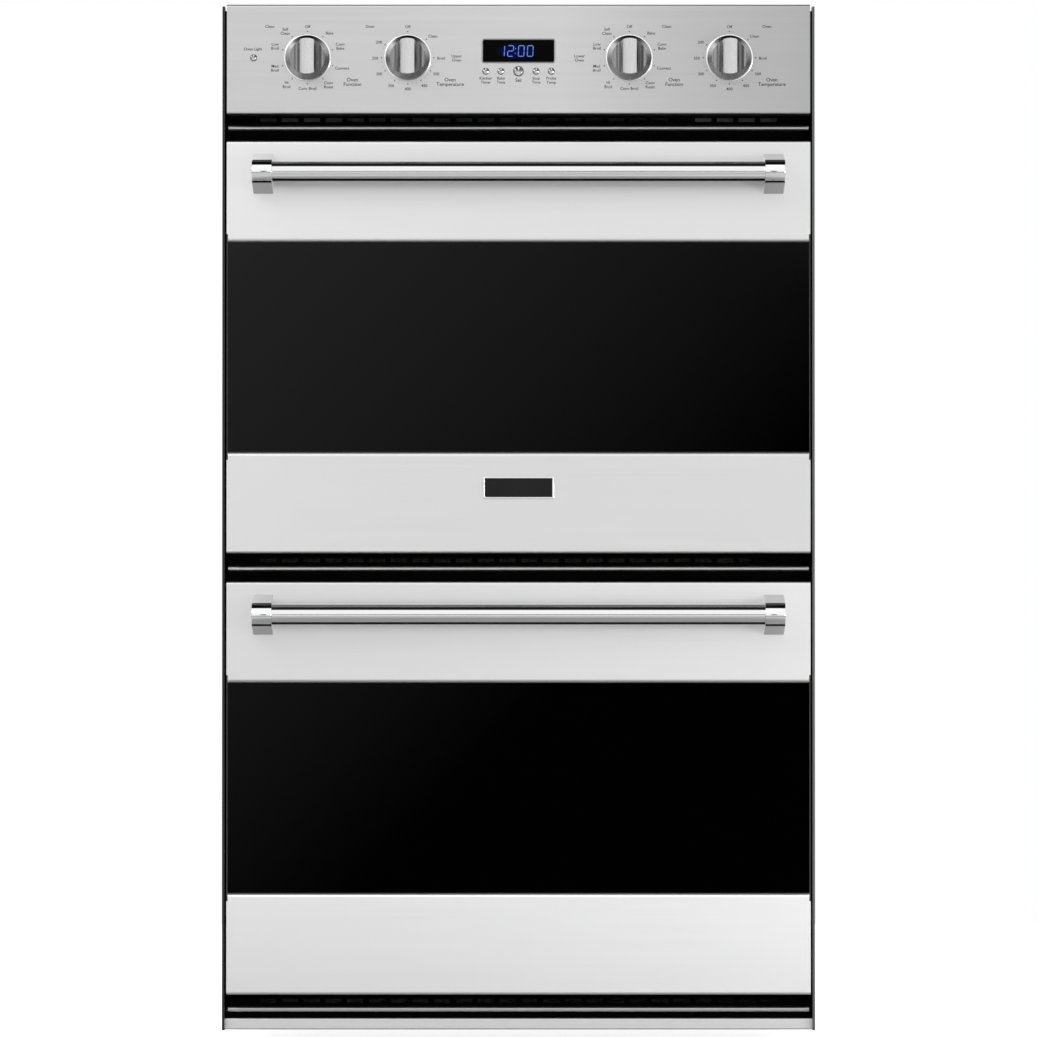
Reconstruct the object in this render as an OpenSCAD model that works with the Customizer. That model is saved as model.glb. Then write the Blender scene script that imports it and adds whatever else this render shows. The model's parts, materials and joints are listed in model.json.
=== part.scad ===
// Built-in double wall oven, 30 inch class: two drop-down doors over two
// convection cavities, with a knob panel on top.
// +X is to the right, +Y goes back into the wall, +Z is up, in millimetres.
// The origin is the centre of the base, on the face that rests on the shelf.
// Inside the modules, y = 0 is the front face of the front frame; placed()
// moves that frame of reference to the origin's.

/* [Overall] */
// Width over the two side trims
overall_w = 749.3; // [620:1:920]
// Height from the shelf to the top edge of the control panel
overall_h = 1294.5; // [1070:1:1560]
// Depth from the front frame's face to the back panel
body_depth = 595; // [480:1:720]
// How far the frame's flange stands out past each side of the body
flange_overlap = 16.15; // [14:0.5:20]
// How far the body stays below the panel's top edge
top_clear = 11.5; // [10:0.5:14]
// Thickness of the folded casing sheet
sheet_t = 1.2; // [0.8:0.1:1.6]
// Thickness of the front frame
frame_t = 2; // [1.5:0.5:3]

/* [Front layout] */
// Width of each side trim, seen from the front
side_trim_w = 3.1; // [2.5:0.1:5]
// How far the side trims stand out from the frame
side_trim_d = 24; // [12:1:34]
// Gap between a side trim and a door
side_gap = 3.8; // [2.5:0.1:6]
// Height of the control panel
panel_h = 138.5; // [128:0.5:170]
// How far the control panel stands out from the frame
panel_d = 54; // [50:1:66]
// Gap between the control panel and the upper door
panel_gap = 34.1; // [31:0.1:45]
// Gap between the two doors
door_gap = 36.1; // [34:0.1:50]
// Gap between the lower door and the bottom trim
lower_gap = 32.5; // [28:0.1:45]
// Height of the bottom trim
bottom_trim_h = 14.3; // [10:0.1:20]
// How far the bottom trim stands out from the frame
bottom_trim_d = 7; // [5:0.5:9]
// Height of each vent trim's rounded nose
bead_h = 7.2; // [5:0.1:9]
// How far each vent trim stands out from the frame
bead_d = 6.5; // [4:0.5:8]
// How far each vent trim lies below the piece above it, from the top down
bead_drops = [10.2, 15.4, 17.5]; // [10:0.1:20]

/* [Doors] */
// Thickness of a door, without its handle
door_t = 42; // [35:1:50]
// Gap between a door's inner face and the frame, filled by the gasket
gasket_gap = 16; // [14:0.5:20]
// Height of each stainless band, above and below the glass
band_h = 127.5; // [100:0.5:150]
// Radius of the band's edge where it turns in to the glass
lip_r = 5; // [3:0.5:7]
// Radius of the folded outer edges
fold_r = 3; // [2:0.5:4]
// How far the door skin's folded sides stop short of the door's inner face
skin_inset = 6; // [4:0.5:10]
// Thickness of each glass pane
glass_t = 4; // [3:0.5:5]
// Distance of the window in the door's inner liner from the door's side edge
window_side = 132.75; // [108:0.25:188]
// Height of the window in the door's inner liner
window_h = 210; // [140:5:230]
// Pivot's distance above the door's lower edge, and in from its inner face
pivot_inset = 8; // [7:0.5:9]
// Radius of the hinge pin
pin_r = 3; // [2.5:0.5:3.5]
// Distance of each hinge from the door's side edge
hinge_inset = 67.7; // [58:0.5:80]

/* [Handles] */
// Diameter of the handle tube
handle_dia = 25; // [20:1:30]
// Distance of the tube's axis from the door's face
handle_reach = 47; // [40:1:60]
// Distance of the tube's axis below the door's upper edge
handle_drop = 41.5; // [34:0.5:50]
// Distance of each bracket's outer side from the door's side edge
bracket_inset = 33.5; // [20:0.5:45]
// Width of each bracket
bracket_w = 25.4; // [20:0.2:30]
// Height of each bracket's foot on the door
bracket_foot_h = 50.4; // [40:0.2:60]
// Wall of each bracket's barrel, round the tube
barrel_wall = 2.5; // [2:0.1:4]

/* [Controls] */
// Distance of the outer knobs from the panel's side edge
outer_knob_inset = 101.7; // [95:0.5:110]
// Distance of the inner knobs from the middle of the panel
inner_knob_x = 139.7; // [125:0.5:145]
// Height of the knobs above the panel's lower edge
knob_z = 71.2; // [65:0.5:76]
// Diameter of a knob's skirt
knob_dia = 56; // [44:1:68]
// Overall depth of a knob
knob_d = 33; // [26:1:36]
// Width of the grip across a knob
grip_w = 17.5; // [14:0.5:20]
// Radius of the control spindles
spindle_r = 3; // [2.5:0.5:4]
// Width of the clock's window
display_w = 91; // [80:1:100]
// Height of the clock's window
display_h = 29; // [22:0.5:34]
// Height of the clock's middle above the panel's lower edge
display_z = 79.8; // [76:0.2:84]
// Height of the push buttons above the panel's lower edge
button_z = 54.2; // [50:0.2:56]
// Radius of the small push buttons
button_r = 4; // [3:0.5:5]
// Radius of the set button
set_button_r = 6.2; // [5:0.2:7]
// Travel of a push button
button_travel = 1.2; // [0.8:0.1:1.4]
// Distance of the lamp button from the panel's side edge
lamp_button_inset = 33.7; // [28:0.5:36]

/* [Cavities] */
// Thickness of each side wall, from cavity to casing
side_wall = 37; // [34:1:45]
// Height of the cavity's floor above its door's lower edge
floor_rise = 37; // [34:1:44]
// Distance of the cavity's ceiling below its door's upper edge
ceiling_drop = 62; // [56:1:75]
// Depth of the space behind the cavity
rear_space = 93; // [86:1:110]
// Radius of the cavity's corners
corner_r = 15; // [8:1:20]
// Thickness of the fibreglass blanket
blanket_t = 28; // [20:1:29]
// Space under the floor for the hidden bake element
bake_space = 20; // [16:1:24]
// Depth of the fan compartment at the back of the cavity
fan_box_d = 46; // [40:1:56]
// Diameter of the convection fan
fan_dia = 150; // [110:5:180]
// Diameter of the heating elements' tube
element_dia = 6.5; // [5:0.5:8]

/* [Racks] */
// Height of the lowest rack position above the floor
first_rung = 55; // [45:1:65]
// Distance between rack positions
rung_pitch = 55; // [40:1:60]
// Room left over the highest rack position, for the broil element and a pan
top_room = 84; // [70:1:100]
// Diameter of the rack's frame rod
rack_rod = 6.5; // [5:0.5:8]
// Diameter of the rack's inner wires
rack_wire = 3.5; // [2.5:0.5:5]
// Number of wires along the rack's depth
rack_wires = 19; // [9:2:25]
// Diameter of the rack guides' rods
guide_rod = 5; // [4:0.5:6]

/* [Mounting] */
// Radius of the screw holes in the flange
screw_hole_r = 2.25; // [2:0.25:3]
// Distance of the upper and lower screw holes from the middle of the frame
screw_half_pitch = 420; // [300:10:440]
// Radius of the bore for the supply conduit
conduit_r = 11; // [8:0.5:13]

/* [Hidden] */
$fn = 48;

eps = 0.01;          // overrun of a cut
moving_gap = 0.3;    // air between pieces that slide or swing past each other
shaft_gap = 0.05;    // radial clearance of a pin or spindle in its hole
fit_gap = 0.5;       // air between folded sheets that nest

// Casing
casing_w = overall_w - 2 * flange_overlap;
casing_h = overall_h - top_clear;
inner_w = casing_w - 2 * sheet_t;
frame_w = overall_w - 2 * side_trim_w;
frame_top_drop = 3.8;
frame_h = overall_h - frame_top_drop;
hole_x = (casing_w / 2 + frame_w / 2) / 2;

// Front layout
face_w = frame_w - 2 * side_gap;
panel_z = overall_h - panel_h;
lower_door_z = bottom_trim_h + lower_gap;
door_h = (panel_z - panel_gap - lower_door_z - door_gap) / 2;
upper_door_z = lower_door_z + door_h + door_gap;
door_zs = [upper_door_z, lower_door_z];
bead_tops = [panel_z - bead_drops[0], upper_door_z - bead_drops[1], lower_door_z - bead_drops[2]];

// Doors
door_back = -gasket_gap;
door_face = door_back - door_t;
skin_d = door_t - skin_inset;
pivot_y = door_back - pivot_inset;
hinge_x = face_w / 2 - hinge_inset;
claw_t = 6;
claw_h = 9;
claw_gap = 1;
pane_set = 1;        // straight end of the lip, up to the glass
pane_y = door_face + lip_r + pane_set;
liner_t = 1.5;
plateau_rise = 6;
plateau_margin = 6;
pane_edge = 10;      // how far a pane reaches past the opening that it closes
pane_back = pane_y + glass_t;
middle_pane_y = door_back - 14;
window_w = face_w - 2 * window_side;

// Cavities
cavity_w = casing_w - 2 * side_wall;
cavity_h = door_h - floor_rise - ceiling_drop;
cavity_d = body_depth - rear_space - frame_t;
liner_wall = 1.2;
floor_zs = [for (z = door_zs) z + floor_rise];
cavity_back = frame_t + cavity_d;
fan_box_y = cavity_back - fan_box_d;
blanket_front = 60;
fan_z = cavity_h / 2;

// Racks
guide_front = 30;
guide_back = fan_box_y - 14;
upright_x = cavity_w / 2 - 4.5;
rung_x = upright_x - guide_rod + 0.5;
rack_rail_x = rung_x - 2;
rack_lift = guide_rod / 2 + rack_rod / 2 + moving_gap;
rack_front = 25;
rack_back = fan_box_y - 16;
rungs = floor((cavity_h - first_rung - top_room) / rung_pitch) + 1;
low_rung = 2;
high_rung = max(low_rung + 1, rungs - 2);

// Controls
panel_face = -panel_d;
outer_knob_x = face_w / 2 - outer_knob_inset;
knob_xs = [-outer_knob_x, -inner_knob_x, inner_knob_x, outer_knob_x];
knob_axis_z = panel_z + knob_z;
bezel_t = 2;
bezel_r = knob_dia / 2 + 2;
knob_back = panel_face - bezel_t - moving_gap;
spindle_reach = 16;
lamp_button_x = -(face_w / 2 - lamp_button_inset);
button_pitch_in = 22.2;
button_pitch_out = 41.3;
button_axis_z = panel_z + button_z;

// ---------------------------------------------------------------- helpers

// Moves a piece from the front frame's reference to the row's origin.
module placed() translate([0, -body_depth / 2, 0]) children();

// Extrudes a drawing in (x, z) from y0 to y1.
module along_y(y0, y1) translate([0, y1, 0]) rotate([90, 0, 0]) linear_extrude(y1 - y0) children();

// Extrudes a drawing in (y, z) from x0 to x1.
module along_x(x0, x1) translate([x0, 0, 0]) rotate([90, 0, 90]) linear_extrude(x1 - x0) children();

// A box from its lowest to its highest corner.
module box(low, high) translate(low) cube(high - low);

// Cylinders along Y, X and Z.
module cyl_y(x, z, r, y0, y1) translate([x, y0, z]) rotate([-90, 0, 0]) cylinder(h = y1 - y0, r = r);
module cyl_x(y, z, r, x0, x1) translate([x0, y, z]) rotate([0, 90, 0]) cylinder(h = x1 - x0, r = r);
module cyl_z(x, y, r, z0, z1) translate([x, y, z0]) cylinder(h = z1 - z0, r = r);

// A rectangle with round corners, centred on the point given.
module round_rect(w, h, r, x = 0, z = 0) translate([x, z]) {
    square([w - 2 * r, h], center = true);
    square([w, h - 2 * r], center = true);
    for (i = [-1, 1], j = [-1, 1]) translate([i * (w / 2 - r), j * (h / 2 - r)]) circle(r);
}

// A row of upright slots in (x, z), centred on the point given.
module slot_row(count, pitch, w, h, x = 0, z = 0)
    for (i = [0 : count - 1]) translate([x + (i - (count - 1) / 2) * pitch, z]) square([w, h], center = true);

// Air slots down through a top fold, t thick, in a row along X.
module top_slots(count, pitch, y, z, t) translate([0, y, z - eps]) linear_extrude(t + 2 * eps)
    slot_row(count, pitch, pitch * 0.7, 5);

// Copies a piece to both sides.
module both_sides() {
    children();
    mirror([1, 0, 0]) children();
}

// A folded face in (y, z): round front corners at y0, open at the back.
module folded_face(y0, y1, z0, z1, r) {
    translate([y0 + r, z0]) square([y1 - y0 - r, z1 - z0]);
    translate([y0, z0 + r]) square([r + eps, z1 - z0 - 2 * r]);
    for (z = [z0 + r, z1 - r]) translate([y0 + r, z]) circle(r);
}

// A tray of sheet, w wide, folded back from y0 to y1 on all four sides.
module folded_tray(w, y0, y1, z0, z1, r, t) difference() {
    along_x(-w / 2, w / 2) folded_face(y0, y1, z0, z1, r);
    along_x(-w / 2 + t, w / 2 - t) folded_face(y0 + t, y1 + 1, z0 + t, z1 - t, r - t);
}

// A hex-headed sheet screw along +Y, its seat at y.
module screw_head(x, z, y) {
    cyl_y(x, z, 5, y, y + 0.8);
    translate([x, y + 0.8, z]) rotate([-90, 0, 0]) cylinder(h = 2.4, r = 3.8, $fn = 6);
}

// ---------------------------------------------------------------- casing

base_h = 25;
base_back = body_depth - sheet_t;

module base_pan() color("silver") difference() {
    box([-inner_w / 2, frame_t, 0], [inner_w / 2, base_back, base_h]);
    box([-inner_w / 2 + sheet_t, frame_t + sheet_t, sheet_t],
        [inner_w / 2 - sheet_t, base_back - sheet_t, base_h + eps]);
    for (side = [-1, 1], i = [0 : 5])
        translate([side * inner_w / 4 - inner_w / 10, body_depth * (0.25 + 0.1 * i), -eps])
            cube([inner_w / 5, 8, sheet_t + 2 * eps]);
}

panel_recess = 3;
recess_margin = 70;
recess_front = 90;
recess_back = body_depth - 90;

// Louvre slots in a side panel, near the top: (y, z)
module side_louvres() for (i = [0 : 8])
    translate([body_depth * 0.45 + i * 18, casing_h - 110]) square([8, 56]);

module side_panel() {
    x1 = casing_w / 2;
    x0 = x1 - sheet_t;
    difference() {
        union() {
            along_x(x0, x1) translate([frame_t, 0]) square([body_depth - frame_t, casing_h]);
            for (z = floor_zs) box([x0 - panel_recess, recess_front, z + recess_margin],
                [x1, recess_back, z + cavity_h - recess_margin]);
        }
        for (z = floor_zs) box([x1 - panel_recess, recess_front + sheet_t, z + recess_margin + sheet_t],
            [x1 + eps, recess_back - sheet_t, z + cavity_h - recess_margin - sheet_t]);
        along_x(x0 - eps, x1 + eps) side_louvres();
    }
}

module side_panels() color("gainsboro") both_sides() side_panel();

motor_vent_r = 52;

// Slots in a round pattern behind a motor: (x, z)
module motor_vent() intersection() {
    circle(motor_vent_r);
    slot_row(9, 11, 5, 2 * motor_vent_r);
}

module back_panel() color("gainsboro") difference() {
    union() {
        along_y(base_back, body_depth) translate([-inner_w / 2, 0]) square([inner_w, casing_h - sheet_t]);
        for (x = [-inner_w / 2 + 60, inner_w / 2 - 60], z = floor_zs)
            along_y(base_back - panel_recess, base_back) round_rect(46, cavity_h - 60, 20, x, z + fan_z);
    }
    for (x = [-inner_w / 2 + 60, inner_w / 2 - 60], z = floor_zs)
        along_y(base_back - panel_recess + sheet_t, body_depth + eps)
            round_rect(46 - 2 * sheet_t, cavity_h - 60 - 2 * sheet_t, 20 - sheet_t, x, z + fan_z);
    for (z = floor_zs) along_y(base_back - eps, body_depth + eps) translate([0, z + fan_z]) motor_vent();
    along_y(base_back - eps, body_depth + eps) slot_row(16, 18, 7, 44, -inner_w / 5, casing_h - 50);
}

module top_cover() color("gainsboro") difference() {
    box([-inner_w / 2, frame_t, casing_h - sheet_t], [inner_w / 2, body_depth, casing_h]);
    for (side = [-1, 1], i = [0 : 13])
        translate([side * inner_w / 4 - 70 + i * 10.5, body_depth * 0.2, casing_h - sheet_t - eps])
            cube([5, 70, sheet_t + 2 * eps]);
    cyl_z(gland_x, gland_y, conduit_r + gland_wall, casing_h - sheet_t - eps, casing_h + eps);
}

vent_slot_h = 5;
vent_rise = 4;       // from a vent trim's top to the slots above it
vent_slots = 24;
vent_pitch = casing_w / (vent_slots + 2);
bay_margin = 12;

// The space round a hinge's claw, from y0 to y1
module claw_hole(x, z, y0, y1)
    along_y(y0, y1) translate([x, z]) square([claw_t + 2 * claw_gap, claw_h + 2 * claw_gap], center = true);

// The cavity's opening, grown by a margin: (x, z)
module cavity_outline(z, grow = 0)
    round_rect(cavity_w + 2 * grow, cavity_h + 2 * grow, corner_r + grow, 0, z + cavity_h / 2);

module front_frame() color([0.06, 0.06, 0.065]) difference() {
    along_y(0, frame_t) translate([-frame_w / 2, 0]) square([frame_w, frame_h]);
    for (z = floor_zs) along_y(-eps, frame_t + eps) cavity_outline(z);
    // open bay behind the control panel
    box([-face_w / 2 + bay_margin, -eps, panel_z + bay_margin],
        [face_w / 2 - bay_margin, frame_t + eps, frame_h - bay_margin]);
    // a row of air slots above each vent trim
    for (z = bead_tops) along_y(-eps, frame_t + eps)
        slot_row(vent_slots, vent_pitch, vent_pitch * 0.75, vent_slot_h, 0, z + vent_rise + vent_slot_h / 2);
    // slots for the hinge claws
    for (side = [-1, 1], z = door_zs)
        claw_hole(side * hinge_x, z + pivot_inset, -eps, frame_t + eps);
    for (side = [-1, 1], z = [-1, 1])
        cyl_y(side * hole_x, frame_h / 2 + z * screw_half_pitch, screw_hole_r, -eps, frame_t + eps);
}

// ---------------------------------------------------------------- trims

trim_wall = 1;

// A narrow channel, open at the back, that hooks over the frame's edge
module side_trims() color("silver") both_sides() difference() {
    box([frame_w / 2, -side_trim_d, 0], [overall_w / 2, frame_t, overall_h]);
    box([frame_w / 2 + trim_wall, -side_trim_d + trim_wall, -eps],
        [overall_w / 2 - trim_wall, frame_t + eps, overall_h + eps]);
}

module bottom_trim() color("silver")
    folded_tray(frame_w, -bottom_trim_d, 0, 0, bottom_trim_h, fold_r / 2, trim_wall);

// A strip with a round nose in each gap
module vent_trims() color("silver") for (z = bead_tops) along_x(-face_w / 2, face_w / 2) intersection() {
    translate([-bead_d, z - bead_h]) square([bead_d, bead_h]);
    translate([-bead_d + bead_h / 2, z - bead_h / 2]) {
        circle(bead_h / 2);
        translate([0, -bead_h / 2]) square([bead_d, bead_h]);
    }
}

// ---------------------------------------------------------------- controls

button_hole_gap = 0.35;
head_proud = 1.6;
head_chamfer = 1.2;
collar_w = 1.5;
collar_t = 1;
collar_y = panel_face + sheet_t + moving_gap;
plunger_r = 1.6;
plunger_y = collar_y + collar_t + button_travel + moving_gap;

module button_holes(y0, y1) {
    for (x = [lamp_button_x, -button_pitch_out, -button_pitch_in, button_pitch_in, button_pitch_out])
        cyl_y(x, x == lamp_button_x ? knob_axis_z : button_axis_z, button_r + button_hole_gap, y0, y1);
    cyl_y(0, button_axis_z, set_button_r + button_hole_gap, y0, y1);
}

module control_panel() color("silver") difference() {
    folded_tray(face_w, panel_face, 0, panel_z, overall_h, fold_r, sheet_t);
    for (x = knob_xs) cyl_y(x, knob_axis_z, bezel_bore, panel_face - eps, panel_face + 2 * sheet_t);
    button_holes(panel_face - eps, panel_face + 2 * sheet_t);
    along_y(panel_face - eps, panel_face + 2 * sheet_t)
        round_rect(display_w, display_h, 1.5, 0, panel_z + display_z);
    top_slots(20, face_w / 22, panel_face / 2, overall_h - sheet_t, sheet_t);
}

window_recess = 0.7;
window_depth = 3;

module display_window() color([0.02, 0.02, 0.025]) {
    along_y(panel_face + window_recess, panel_face + window_depth)
        round_rect(display_w - 0.4, display_h - 0.4, 1.3, 0, panel_z + display_z);
    along_y(panel_face + sheet_t, panel_face + window_depth)
        round_rect(display_w + 8, display_h + 6, 2, 0, panel_z + display_z);
}

bezel_bore = spindle_r + 2;

// A flat ring with a chamfered rim
module knob_bezel() difference() {
    union() {
        cylinder(h = bezel_t / 2, r = bezel_r);
        translate([0, 0, bezel_t / 2]) cylinder(h = bezel_t / 2, r1 = bezel_r, r2 = bezel_r - bezel_t / 2);
    }
    translate([0, 0, -eps]) cylinder(h = bezel_t + 2 * eps, r = bezel_bore);
}

module knob_bezels() color("silver") for (x = knob_xs)
    translate([x, panel_face, knob_axis_z]) rotate([90, 0, 0]) knob_bezel();

switch_w = 36;
switch_d = 24;
switch_y = panel_face + sheet_t;
lamp_switch_w = 20;
lamp_switch_d = 14;

module tabs(x, y) color("gold") for (i = [-1.5 : 1 : 1.5])
    box([x + i * 7 - 2, y, knob_axis_z - 0.4], [x + i * 7 + 2, y + 8, knob_axis_z + 0.4]);

// A rotary switch with its fixed spindle, behind each knob
module rotary_switch(x) {
    color("dimgray") along_y(switch_y, switch_y + switch_d) round_rect(switch_w, switch_w, 4, x, knob_axis_z);
    color("silver") cyl_y(x, knob_axis_z, spindle_r, knob_back - spindle_reach + 1, switch_y);
    tabs(x, switch_y + switch_d);
}

module panel_switches() {
    for (x = knob_xs) rotary_switch(x);
    // a cup round the lamp button's collar, with a plunger in it
    color("dimgray") difference() {
        along_y(switch_y, switch_y + lamp_switch_d)
            round_rect(lamp_switch_w, lamp_switch_w, 2, lamp_button_x, knob_axis_z);
        cyl_y(lamp_button_x, knob_axis_z, button_r + collar_w + 0.5, switch_y - eps, plunger_y + 2);
    }
    color("silver") cyl_y(lamp_button_x, knob_axis_z, plunger_r, plunger_y, plunger_y + 3);
}

board_t = 1.6;
display_board_y = panel_face + 9;
relay_board_w = 170;
relay_board_d = 130;
post_h = 12;
post_r = 3;
tray_margin = 10;
tray_wall = 2;
relay_corner = [-relay_board_w - 60, body_depth * 0.3, casing_h - 60];

// The clock and keypad board behind the panel, with its display block and the buttons' plungers
module clock_board() {
    color("darkgreen") along_y(display_board_y, display_board_y + board_t)
        round_rect(display_w + 34, display_h + 54, 2, 0, panel_z + (display_z + button_z) / 2);
    color("black") along_y(panel_face + window_depth, display_board_y)
        round_rect(display_w - 6, display_h - 2, 1, 0, panel_z + display_z);
    color("dimgray") for (x = [-button_pitch_out, -button_pitch_in, 0, button_pitch_in, button_pitch_out])
        cyl_y(x, button_axis_z, plunger_r, plunger_y, display_board_y);
}

// The relay board on its posts, in a tray hung from the top cover. Drawn from the board's lower left corner.
module relay_board() {
    w = relay_board_w;
    d = relay_board_d;
    color("darkgreen") cube([w, d, board_t]);
    color("silver") for (x = [8, w - 8], y = [8, d - 8]) cyl_z(x, y, post_r, -post_h, 0);
    color("black") for (i = [0 : 4]) translate([10 + i * 30, 20, board_t]) cube([20, 28, 18]);
    color("goldenrod") translate([70, 66, board_t]) cube([48, 40, 36]);
    color("dimgray") for (i = [0 : 2]) cyl_z(w - 35, 64 + i * 22, 8, board_t, 24);
    color("gainsboro") {
        translate([-tray_margin, -tray_margin, -post_h - tray_wall])
            cube([w + 2 * tray_margin, d + 2 * tray_margin, tray_wall]);
        for (x = [-tray_margin, w + tray_margin - tray_wall]) translate([x, -tray_margin, -post_h])
            cube([tray_wall, d + 2 * tray_margin, casing_h - sheet_t - relay_corner[2] + post_h]);
    }
}

module control_boards() {
    clock_board();
    translate(relay_corner) relay_board();
}

// A knob's body: a dished skirt, a drum with a scooped grip, and a blind bore
skirt_t = 3;
cone_h = 5;
drum_r = knob_dia / 2 - 5.5;
scoop_r = 15;

scoop_z = skirt_t + cone_h + scoop_r;

// What is scooped away on one side of the grip: a round trough, open at the top
module scoop() {
    translate([grip_w / 2 + scoop_r, 0, scoop_z])
        rotate([90, 0, 0]) cylinder(h = 2 * knob_dia, r = scoop_r, center = true);
    translate([grip_w / 2, -knob_dia, scoop_z]) cube([knob_dia, 2 * knob_dia, knob_d]);
}

module knob(x) color("silver") translate([x, knob_back, knob_axis_z]) rotate([90, 0, 0]) difference() {
    union() {
        cylinder(h = skirt_t, r = knob_dia / 2);
        translate([0, 0, skirt_t]) cylinder(h = cone_h, r1 = knob_dia / 2, r2 = drum_r);
        difference() {
            cylinder(h = knob_d, r = drum_r);
            both_sides() scoop();
        }
    }
    translate([0, 0, -eps]) cylinder(h = spindle_reach, r = spindle_r + shaft_gap);
}

// A button: a stem with a chamfered head, and a collar that stops it behind the panel
module push_button(x, z, r) color("silver") {
    cyl_y(x, z, r, panel_face - head_proud, collar_y);
    translate([x, panel_face - head_proud, z]) rotate([90, 0, 0])
        cylinder(h = head_chamfer, r1 = r, r2 = r - head_chamfer);
    cyl_y(x, z, r + collar_w, collar_y, collar_y + collar_t);
}

module small_button(x, z) push_button(x, z, button_r);

// ---------------------------------------------------------------- cavities

lamp_r = 24;
lamp_rim = 2;
wall_lamp_x = cavity_w / 2 - 38;
wall_lamp_z = cavity_h - 62;
fan_cover_side = 114.5;
sensor_x = -60;
sensor_r = 3;
sensor_z = cavity_h - 22;
liner_flange = 9;
lead_gap = 0.2;      // round a lead in the wall

// A hole through a liner's back wall
module back_hole(x, z, r) cyl_y(x, z, r, cavity_back - eps, cavity_back + liner_wall + eps);

module oven_liner(z) difference() {
    union() {
        along_y(frame_t, cavity_back + liner_wall) cavity_outline(z, liner_wall);
        along_y(frame_t, frame_t + liner_wall) cavity_outline(z, liner_flange);
    }
    along_y(frame_t - eps, cavity_back) cavity_outline(z);
    for (side = [-1, 1]) back_hole(side * wall_lamp_x, z + wall_lamp_z, lamp_r - 3);
    back_hole(0, z + fan_z, 2 * shaft_r);
    back_hole(sensor_x, z + sensor_z, sensor_r + lead_gap);
    for (side = [-1, 1]) {
        back_hole(side * lead_x, z + broil_z, element_r + lead_gap);
        back_hole(side * ring_lead_x, z + ring_lead_z, ring_lead_r + lead_gap);
    }
}

module oven_liners() color([0.16, 0.18, 0.22]) for (z = floor_zs) oven_liner(z);

motor_r = 38;

module insulation_blanket(z) {
    low = z - liner_wall - bake_space;
    high = z + cavity_h + liner_wall;
    half = cavity_w / 2 + liner_wall;
    back = cavity_back + liner_wall + lamp_cup_d;
    difference() {
        box([-half - blanket_t, blanket_front, low - blanket_t],
            [half + blanket_t, back + blanket_t, high + blanket_t]);
        box([-half, blanket_front - eps, low], [half, back, high]);
        cyl_y(0, z + fan_z, motor_r + 3, back - eps, back + blanket_t + eps);
    }
}

module insulation_blankets() color("khaki") for (z = floor_zs) insulation_blanket(z);

module rack_guide(z) {
    for (y = [guide_front + 20, guide_back - 20]) {
        cyl_z(upright_x, y, guide_rod / 2, z + 18, z + first_rung + rungs * rung_pitch - 20);
        for (h = [z + 30, z + first_rung + (rungs - 1) * rung_pitch + 22])
            cyl_x(y, h, guide_rod / 2 + 0.8, upright_x, cavity_w / 2);
    }
    for (i = [0 : rungs - 1])
        cyl_y(rung_x, z + first_rung + i * rung_pitch, guide_rod / 2, guide_front, guide_back);
}

module rack_guides() color("silver") for (z = floor_zs) both_sides() rack_guide(z);

rack_bend = 14;      // radius of the frame rod's corners
stay_drop = 1;
stay_r = rack_rod / 2 - stay_drop;
wire_sink = 0.2;     // how far the wires' tops lie below the frame rod's

// An oven rack: a frame of bent rod with crosswise stays, and wires along its depth
module oven_rack(z) color("silver") {
    r = rack_rod / 2;
    wire = rack_wire / 2;
    wire_pitch = 2 * rack_rail_x / (rack_wires + 1);
    bend_x = rack_rail_x - rack_bend;
    bend_y0 = rack_front + rack_bend;
    bend_y1 = rack_back - rack_bend;
    for (side = [-1, 1]) cyl_y(side * rack_rail_x, z, r, bend_y0, bend_y1);
    for (y = [rack_front, rack_back]) cyl_x(y, z, r, -bend_x, bend_x);
    corners = [[bend_x, bend_y1], [-bend_x, bend_y1], [-bend_x, bend_y0], [bend_x, bend_y0]];
    for (i = [0 : 3])
        translate([corners[i][0], corners[i][1], z]) rotate([0, 0, i * 90])
            rotate_extrude(angle = 90) translate([rack_bend, 0]) circle(r);
    for (t = [1 / 3, 2 / 3])
        cyl_x(rack_front + t * (rack_back - rack_front), z - stay_drop, stay_r, -rack_rail_x, rack_rail_x);
    for (i = [1 : rack_wires])
        cyl_y(-rack_rail_x + i * wire_pitch, z + r - wire - wire_sink, wire, rack_front, rack_back);
}

function rack_height(oven, rung) = floor_zs[oven] + first_rung + (rung - 1) * rung_pitch + rack_lift;

// ---------------------------------------------------------------- heat

loop_pitch = 46;

element_r = element_dia / 2;
element_loops = floor((cavity_w - 120) / 2 / loop_pitch);
lead_x = (element_loops - 0.5) * loop_pitch;
lead_end = cavity_back + 20;
bake_z = -liner_wall - bake_space / 2;
broil_drop = 34;
broil_z = cavity_h - broil_drop;
broil_front = 60;
bake_front = blanket_front + 50;
hanger_w = 12;

// A serpentine of tube, flat in (x, y): runs along Y, joined by half turns.
// The first and the last run go out through the back.
module serpentine(y0, y1, z) for (i = [0 : 2 * element_loops - 1]) {
    x = i * loop_pitch - lead_x;
    cyl_y(x, z, element_r, y0, abs(x) == lead_x ? lead_end : y1);
    if (i < 2 * element_loops - 1) translate([x + loop_pitch / 2, i % 2 == 0 ? y0 : y1, z])
        rotate([0, 0, i % 2 == 0 ? 180 : 0])
            rotate_extrude(angle = 180) translate([loop_pitch / 2, 0]) circle(element_r);
}

// Strips that hold the outer runs of a serpentine, from its tube to a wall
module hangers(y, low, high) for (side = [-1, 1])
    box([side * lead_x - hanger_w / 2, y, low], [side * lead_x + hanger_w / 2, y + hanger_w, high]);

module bake_elements() for (z = floor_zs) {
    color("dimgray") serpentine(bake_front, cavity_back - 60, z + bake_z);
    color("silver") for (y = [bake_front + 30, cavity_back - 90])
        hangers(y, z + bake_z + element_r / 2, z - liner_wall);
}

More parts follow.
